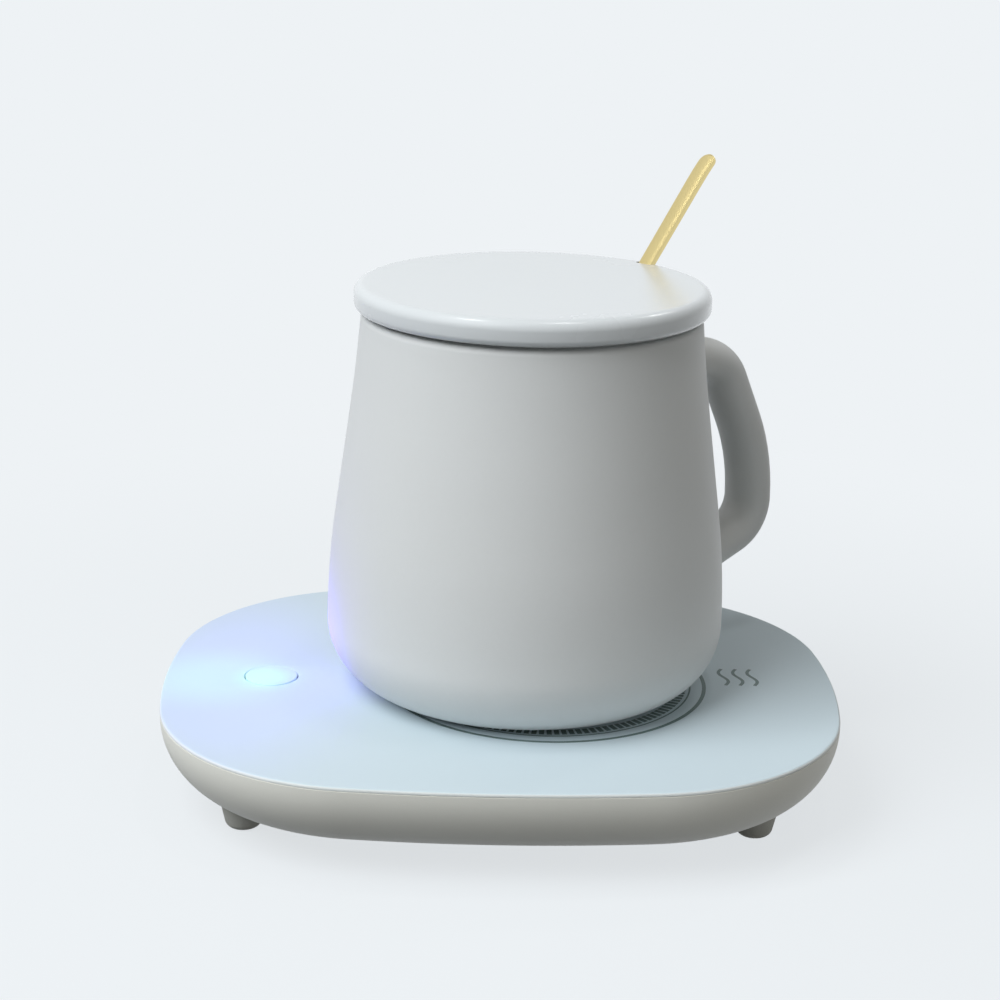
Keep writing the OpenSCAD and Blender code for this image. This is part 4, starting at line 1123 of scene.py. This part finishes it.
class WARMER_OT_lid(bpy.types.Operator):
    """Glazed lid with a rounded edge, a collar and the notch for the spoon."""

    bl_idname = "warmer.lid"
    bl_label = "Lid"

    def execute(self, context):
        s, c = context.scene.warmer_mug, context.scene.warmer_colours
        mouth = mug_curves(s)[4]
        _, normal, rest = spoon_seat(s)
        base_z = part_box("lid")[0].z + s.collar_depth
        thick, ceiling = s.lid_height, s.lid_height - s.lid_plate
        bead_x, seat = s.lid_r - s.lid_bead, mouth + MM
        collar, soft, ease, cove = mouth - 0.6 * MM, 0.6 * MM, 0.4 * MM, 1.2 * MM
        inner, low = collar - s.collar_wall, -s.collar_depth
        dips = ((0.0, 0.15 * MM), (0.5, 0.12 * MM), (0.86, 0.05 * MM))
        profile = [(bead_x * share, thick - dip) for share, dip in dips]
        profile += [(bead_x - MM, thick)]
        profile += arc((bead_x, thick - s.lid_bead), s.lid_bead, 90, 0, 20)
        profile += arc((s.lid_r - s.lid_tuck, s.lid_gap + s.lid_tuck), s.lid_tuck, 0, -90, 12)
        profile += [(seat + ease, s.lid_gap), (seat, s.lid_gap - ease), (seat, 0.0)]
        profile += [(collar + soft, 0.0), (collar, -soft), (collar, soft + low)]
        profile += [(collar - soft, low), (inner + soft, low), (inner, soft + low)]
        profile += arc((inner - cove, ceiling - cove), cove, 0, 90, 5)
        profile += [(inner * 0.5, ceiling), (0.0, ceiling)]
        raised = [(r, z + base_z) for r, z in profile]
        lid = lathe_mesh("lid", raised, steps=160, centre=MUG_AXIS)

        def near_stem(z):
            p = rest + (s.stem_thick + 0.6 * MM) * normal
            return p.x + (s.height + z - p.y) * math.tan(s.spoon_lean)

        half, end, bend = s.notch / 2, s.lid_r + 9 * MM, 0.8 * MM
        inner_end = arc((bend, half - bend), bend, 90, 180, 6)
        inner_end += arc((bend, bend - half), bend, 180, 270, 6)
        turned = Matrix.Rotation(s.spoon_turn, 3, "Z")
        bm = bmesh.new()
        rings = []
        for z in (ceiling - 0.02 * MM, thick + 5 * MM):
            shape = [(end, -half), (end, half)] + [(near_stem(z) + x, y) for x, y in inner_end]
            rings.append([bm.verts.new(turned @ Vector((x, y, z))) for x, y in shape])
        tube(bm, rings)
        upper = to_mesh(bm, "notch")
        lower = block_mesh("collar_gap", (near_stem(low), -half, low - 5 * MM), (end, half, ceiling))
        lower.transform(turned.to_4x4())
        notch = combine(upper, lower, "UNION")
        notch.transform(Matrix.Translation((*MUG_AXIS, base_z)))
        lid = combine(lid, notch, "DIFFERENCE")
        paint = glaze_finish(
            "Lid Glaze", c.lid, fleck=0.95, rough=0.26, coat=1.0, coat_rough=0.22, depth=0.000001
        )
        finish_piece("lid_glazed", lid, "lid", paint.material, ["lid"])
        return {"FINISHED"}


def smooth(t):
    t = min(max(t, 0.0), 1.0)
    return t * t * (3 - 2 * t)


def spoon_half_width(s, x):
    """Half width along the spoon, from the tip of its bowl to the end of its stem."""
    wide = 0.47 * s.bowl_length
    half = s.bowl_width / 2
    neck = s.stem_neck / 2
    joint = s.bowl_length + 6 * MM
    if x < wide:
        return half * math.sqrt(max(0.0, 1 - ((wide - x) / wide) ** 2))
    if x < joint:
        return neck + (half - neck) * (0.5 + 0.5 * math.cos(math.pi * (x - wide) / (joint - wide))) ** 1.15
    width = neck + (s.stem_end / 2 - neck) * (x - joint) / (s.spoon_length - joint)
    left = s.spoon_length - x
    if left < width:
        width = math.sqrt(max(0.0, width * width - (width - left) ** 2))
    return width


class WARMER_OT_spoon(bpy.types.Operator):
    """Gold-coloured spoon with a dished bowl and a flat stem whose end bends over."""

    bl_idname = "warmer.spoon"
    bl_label = "Spoon"

    def execute(self, context):
        s, c = context.scene.warmer_mug, context.scene.warmer_colours
        sides, tip_arc, pitch = 44, 60 * MM, 3 * MM
        bowl_skin, crown_rise, square = 1.2 * MM, 0.08 * MM, 0.62
        leaves, fades = 0.82 * s.bowl_length, 0.26 * s.bowl_length
        bend_from = s.spoon_length - tip_arc * s.tip_turn - s.stem_end / 2
        ease = [0.5 - 0.5 * math.cos(math.pi * k / 22) for k in range(1, 22)]
        places = {s.bowl_length * v for v in ease} | {s.bowl_length + pitch * k for k in range(34)}
        places |= {s.spoon_length - pitch * (1 - v) for v in ease}

        def middle(x):
            """Point of the middle line and its bend."""
            a = max(0.0, x - bend_from) / tip_arc
            z = s.stem_thick / 2 - tip_arc * (1 - math.cos(a))
            return Vector((min(x, bend_from) + tip_arc * math.sin(a), 0, z)), a

        bm = bmesh.new()
        rings = [[bm.verts.new(middle(0.0)[0])]]
        for x in sorted(x for x in places if 0 < x < s.spoon_length - 0.01 * MM):
            half = spoon_half_width(s, x)
            in_bowl = 1 - smooth((x - leaves) / fades)
            thick = s.stem_thick + (bowl_skin - s.stem_thick) * in_bowl
            thick *= min(1.0, 0.45 + half / (3 * MM))
            dish = s.bowl_dish * in_bowl * min(1.0, half / (s.bowl_width / 2)) ** 1.2
            crown = crown_rise * (1 - in_bowl)
            centre, a = middle(x)
            up = Vector((math.sin(a), 0.0, math.cos(a)))
            ring = []
            for k in range(sides):
                b = 2 * math.pi * k / sides
                cy, sz = math.cos(b), math.sin(b)
                y = math.copysign(abs(cy) ** square, cy)
                z = math.copysign(abs(sz) ** square, sz) * thick / 2
                lift = -dish * (1 - y * y) + crown * (1 - y * y) * (1 if sz > 0 else -1)
                ring.append(bm.verts.new(centre + Vector((0.0, y * half, 0.0)) + up * (z + lift)))
            rings.append(ring)
        last, a = middle(s.spoon_length - s.stem_end / 2)
        ahead = Vector((math.cos(a), 0.0, -math.sin(a)))
        rings.append([bm.verts.new(last + ahead * s.stem_end / 2)])
        bridge(bm, rings)
        mesh = to_mesh(bm, "spoon")
        foot, lean = spoon_seat(s)[0], s.spoon_lean - math.pi / 2
        place = Matrix.Translation((*MUG_AXIS, MUG_FOOT))
        place @= Matrix.Rotation(s.spoon_turn, 4, "Z") @ Matrix.Translation((foot.x, 0.0, foot.y))
        mesh.transform(place @ Matrix.Rotation(lean, 4, "Y"))
        paint = brushed_finish(
            "Spoon Gold", c.spoon, line=0.93, rough=0.46, spread=0.08,
            turn_to=(0.0, lean, s.spoon_turn), scale=1400.0, depth=0.00000015,
        )
        finish_piece("spoon_gold", mesh, "spoon", paint.material, ["spoon"], sharp=60.0)
        return {"FINISHED"}


# Pieces that keep the solids' own shapes

INNER_METAL = {
    "heat_spreader": ((0.74, 0.75, 0.76), (0.62, 0.63, 0.64), 0.34),
    "heater_clamp": ((0.55, 0.57, 0.58), (0.42, 0.44, 0.46), 0.38),
    "clamp_screws": SCREW_STEEL,
    "board_screws": SCREW_STEEL,
    "socket_shell": ((0.66, 0.66, 0.67), (0.50, 0.50, 0.51), 0.28),
}
INNER_PLAIN = {
    "cover_seal": ((0.030, 0.030, 0.030), 0.72),
    "film_heater": ((0.46, 0.19, 0.035), 0.32),
    "insulation_pad": ((0.66, 0.62, 0.48), 0.92),
    "thermistor": ((0.012, 0.012, 0.012), 0.22),
    "thermal_fuse": ((0.58, 0.48, 0.26), 0.55),
    "heater_leads": ((0.36, 0.018, 0.014), 0.42),
    "thermistor_leads": ((0.018, 0.055, 0.34), 0.42),
    "socket_leads": ((0.012, 0.012, 0.012), 0.45),
    "control_board": ((0.012, 0.085, 0.035), 0.38),
    "socket_board": ((0.012, 0.085, 0.035), 0.38),
    "board_chips": ((0.016, 0.016, 0.018), 0.55),
    "wire_connectors": ((0.66, 0.62, 0.48), 0.48),
    "status_leds": ((0.45, 0.80, 0.90), 0.25),
    "switch_body": ((0.020, 0.020, 0.021), 0.50),
    "socket_tongue": ((0.016, 0.016, 0.018), 0.45),
    "switch_plunger": ((0.66, 0.62, 0.48), 0.45),
}


class WARMER_OT_inner_pieces(bpy.types.Operator):
    """Finishes for the heater, the boards, the leads and the socket inside the base."""

    bl_idname = "warmer.inner_pieces"
    bl_label = "Inner Pieces"

    def execute(self, context):
        for node, (base, line, rough) in INNER_METAL.items():
            self.paint(node, brushed_finish(f"{node} metal", base, line, rough))
        for node, (base, rough) in INNER_PLAIN.items():
            finish = grain_finish(f"{node} finish", base, 0.8, rough, cloud=150.0, grain=3000.0)
            self.paint(node, finish)
        return {"FINISHED"}

    def paint(self, node, finish):
        mesh = NODES[node].data
        mesh.materials.clear()
        mesh.materials.append(finish.material)


# Stage

CAMERA = {
    "turn": -0.81, "rise": 16.823, "distance": 0.522449, "focal": 2.287982, "roll": 1.287,
    "aim_x": -0.000943, "aim_z": 0.066832,
}
LAMP_AIM = (0.0, 0.0, 0.06)
WHITE = (1.0, 1.0, 1.0)
# Place, size, power, colour, and whether it shows in reflections
LAMPS = {
    "key_left": ((-0.535, -0.402, 0.803), 0.7, 10.5, (0.96, 1.0, 1.03), False),
    "fill_right": ((0.75, -0.55, 0.10), 0.6, 1.15, (1.0, 0.99, 0.95), False),
    "spot_left": ((-0.30, 0.0, 0.90), 0.09, 0.50, WHITE, True),
    "spot_middle": ((0.15, 0.0, 0.90), 0.08, 0.35, WHITE, True),
    "spot_right": ((0.45, 0.45, 0.75), 0.08, 0.35, WHITE, True),
}


def seen_rays(nodes):
    """One for rays that the camera, a mirror or glass sends out, nought for light that falls on things."""
    path = nodes.add("ShaderNodeLightPath").outputs
    mirrored = nodes.math("MAXIMUM", path["Is Camera Ray"], path["Is Glossy Ray"])
    return nodes.math("MAXIMUM", mirrored, path["Is Transmission Ray"])


def floor_material(tint):
    """Pale floor that shows a soft shadow near the object and its plain colour further off."""
    material = bpy.data.materials.new("Pale Floor")
    material.use_nodes = True
    nodes = Tree(material.node_tree)
    nodes.tree.nodes.remove(nodes.tree.nodes["Principled BSDF"])
    glow = nodes.put("ShaderNodeEmission", Color=rgba(tint))
    lit = nodes.put("ShaderNodeBsdfDiffuse", Color=rgba(tint, 0.9))
    bounce = nodes.put("ShaderNodeBsdfDiffuse", Color=rgba(tint, 0.12))
    fade = nodes.ramp(nodes.distance(nodes.where()), (0.08, 0.3), (0.8, 1.0))
    above = nodes.mix_shaders(seen_rays(nodes), bounce, nodes.mix_shaders(fade, lit, glow))
    clear = nodes.put("ShaderNodeBsdfTransparent")
    below = nodes.add("ShaderNodeNewGeometry").outputs["Backfacing"]
    nodes.fill(
        nodes.tree.nodes["Material Output"].inputs["Surface"], nodes.mix_shaders(below, above, clear)
    )
    return material


def light_world(world, c):
    """Dim light from all round, behind a backdrop of the floor's colour."""
    world.use_nodes = True
    nodes = Tree(world.node_tree)
    dim = nodes.tree.nodes["Background"]
    nodes.fill(dim.inputs["Color"], rgba(c.air))
    nodes.fill(dim.inputs["Strength"], 0.22)
    overhead = nodes.ramp(nodes.height("Generated"), (0.3, 0.9), (1.0, 0.75), "LINEAR")
    bright = nodes.put("ShaderNodeBackground", Color=rgba(c.floor), Strength=overhead)
    nodes.fill(
        nodes.tree.nodes["World Output"].inputs["Surface"],
        nodes.mix_shaders(seen_rays(nodes), dim.outputs[0], bright),
    )


def area_light(name, place, aim, size, power, tint, mirrored, spread=180.0):
    data = bpy.data.lights.new(name, "AREA")
    data.size, data.energy, data.color = size, power, tint
    data.spread = math.radians(spread)
    lamp = bpy.data.objects.new(name, data)
    lamp.location = place
    lamp.rotation_euler = (Vector(aim) - Vector(place)).to_track_quat("-Z", "Y").to_euler()
    lamp.visible_glossy = mirrored
    bpy.context.scene.collection.objects.link(lamp)


class WARMER_OT_stage(bpy.types.Operator):
    """Pale floor, soft lights and the camera."""

    bl_idname = "warmer.stage"
    bl_label = "Stage"

    def execute(self, context):
        scene, c = context.scene, context.scene.warmer_colours
        bm = bmesh.new()
        bmesh.ops.create_grid(bm, x_segments=4, y_segments=4, size=8.0)
        floor = bpy.data.objects.new("floor", to_mesh(bm, "floor"))
        floor.location.z = -0.05 * MM
        scene.collection.objects.link(floor)
        floor.data.materials.append(floor_material(c.floor))
        scene.world = bpy.data.worlds.new("Studio")
        light_world(scene.world, c)

        for name, (place, *rest) in LAMPS.items():
            area_light(name, place, LAMP_AIM, *rest)
        # What the lit button throws on the side of the mug
        near = Vector((BUTTON.x, BUTTON.y - 5 * MM, BASE_TOP + 4 * MM))
        side = near + Vector((16 * MM, 0.0, 11 * MM))
        area_light(
            "button_light", near, side, size=0.008, power=0.0030, tint=(0.14, 0.07, 1.0),
            mirrored=False, spread=100.0,
        )

        cam = bpy.data.cameras.new("camera")
        cam.sensor_fit, cam.sensor_width = "HORIZONTAL", 36.0
        cam.lens = 36.0 * CAMERA["focal"]
        cam.clip_start, cam.clip_end = 0.01, 60.0
        turned, rise = math.radians(CAMERA["turn"]), math.radians(CAMERA["rise"])
        back = Vector((
            math.sin(turned) * math.cos(rise), -math.cos(turned) * math.cos(rise), math.sin(rise)
        ))
        right = Vector((math.cos(turned), math.sin(turned), 0.0))
        up = back.cross(right)
        roll = math.radians(CAMERA["roll"])
        side = math.cos(roll) * right + math.sin(roll) * up
        head = math.cos(roll) * up - math.sin(roll) * right
        aim = Vector((CAMERA["aim_x"] * right.x, CAMERA["aim_x"] * right.y, CAMERA["aim_z"]))
        place = Matrix((side, head, back)).transposed().to_4x4()
        place.translation = aim + CAMERA["distance"] * back
        camera = bpy.data.objects.new("camera", cam)
        camera.matrix_world = place
        scene.collection.objects.link(camera)
        scene.camera = camera
        scene.view_settings.view_transform = "Standard"
        return {"FINISHED"}


class WARMER_PT_panel(bpy.types.Panel):
    """Sidebar panel with the pieces of the set."""

    bl_idname = "WARMER_PT_panel"
    bl_label = "Mug Warmer Set"
    bl_space_type = "VIEW_3D"
    bl_region_type = "UI"
    bl_category = "Warmer"

    def draw(self, context):
        for operator in OPERATORS:
            self.layout.operator(operator.bl_idname)
        for key, group in GROUP_CLASSES.items():
            box = self.layout.box()
            for label in group.__annotations__:
                box.prop(getattr(context.scene, key), label)


GROUP_CLASSES = {
    "warmer_base": WarmerBaseSizes, "warmer_mug": WarmerMugSizes, "warmer_colours": WarmerColours,
}
OPERATORS = (
    WARMER_OT_base_shell, WARMER_OT_top_cover, WARMER_OT_printed_marks, WARMER_OT_feet,
    WARMER_OT_housing_screws, WARMER_OT_button, WARMER_OT_mug, WARMER_OT_lid, WARMER_OT_spoon,
    WARMER_OT_inner_pieces, WARMER_OT_stage,
)
CLASSES = (*GROUP_CLASSES.values(), *OPERATORS, WARMER_PT_panel)


def register():
    for cls in CLASSES:
        bpy.utils.register_class(cls)
    for key, group in GROUP_CLASSES.items():
        setattr(bpy.types.Scene, key, PointerProperty(type=group))


def unregister():
    for key in GROUP_CLASSES:
        delattr(bpy.types.Scene, key)
    for cls in reversed(CLASSES):
        bpy.utils.unregister_class(cls)


def main():
    register()
    bpy.ops.warmer.base_shell()
    bpy.ops.warmer.top_cover()
    bpy.ops.warmer.printed_marks()
    bpy.ops.warmer.feet()
    bpy.ops.warmer.housing_screws()
    bpy.ops.warmer.button()
    bpy.ops.warmer.mug()
    bpy.ops.warmer.lid()
    bpy.ops.warmer.spoon()
    bpy.ops.warmer.inner_pieces()
    bpy.ops.warmer.stage()


if __name__ == "__main__":
    main()
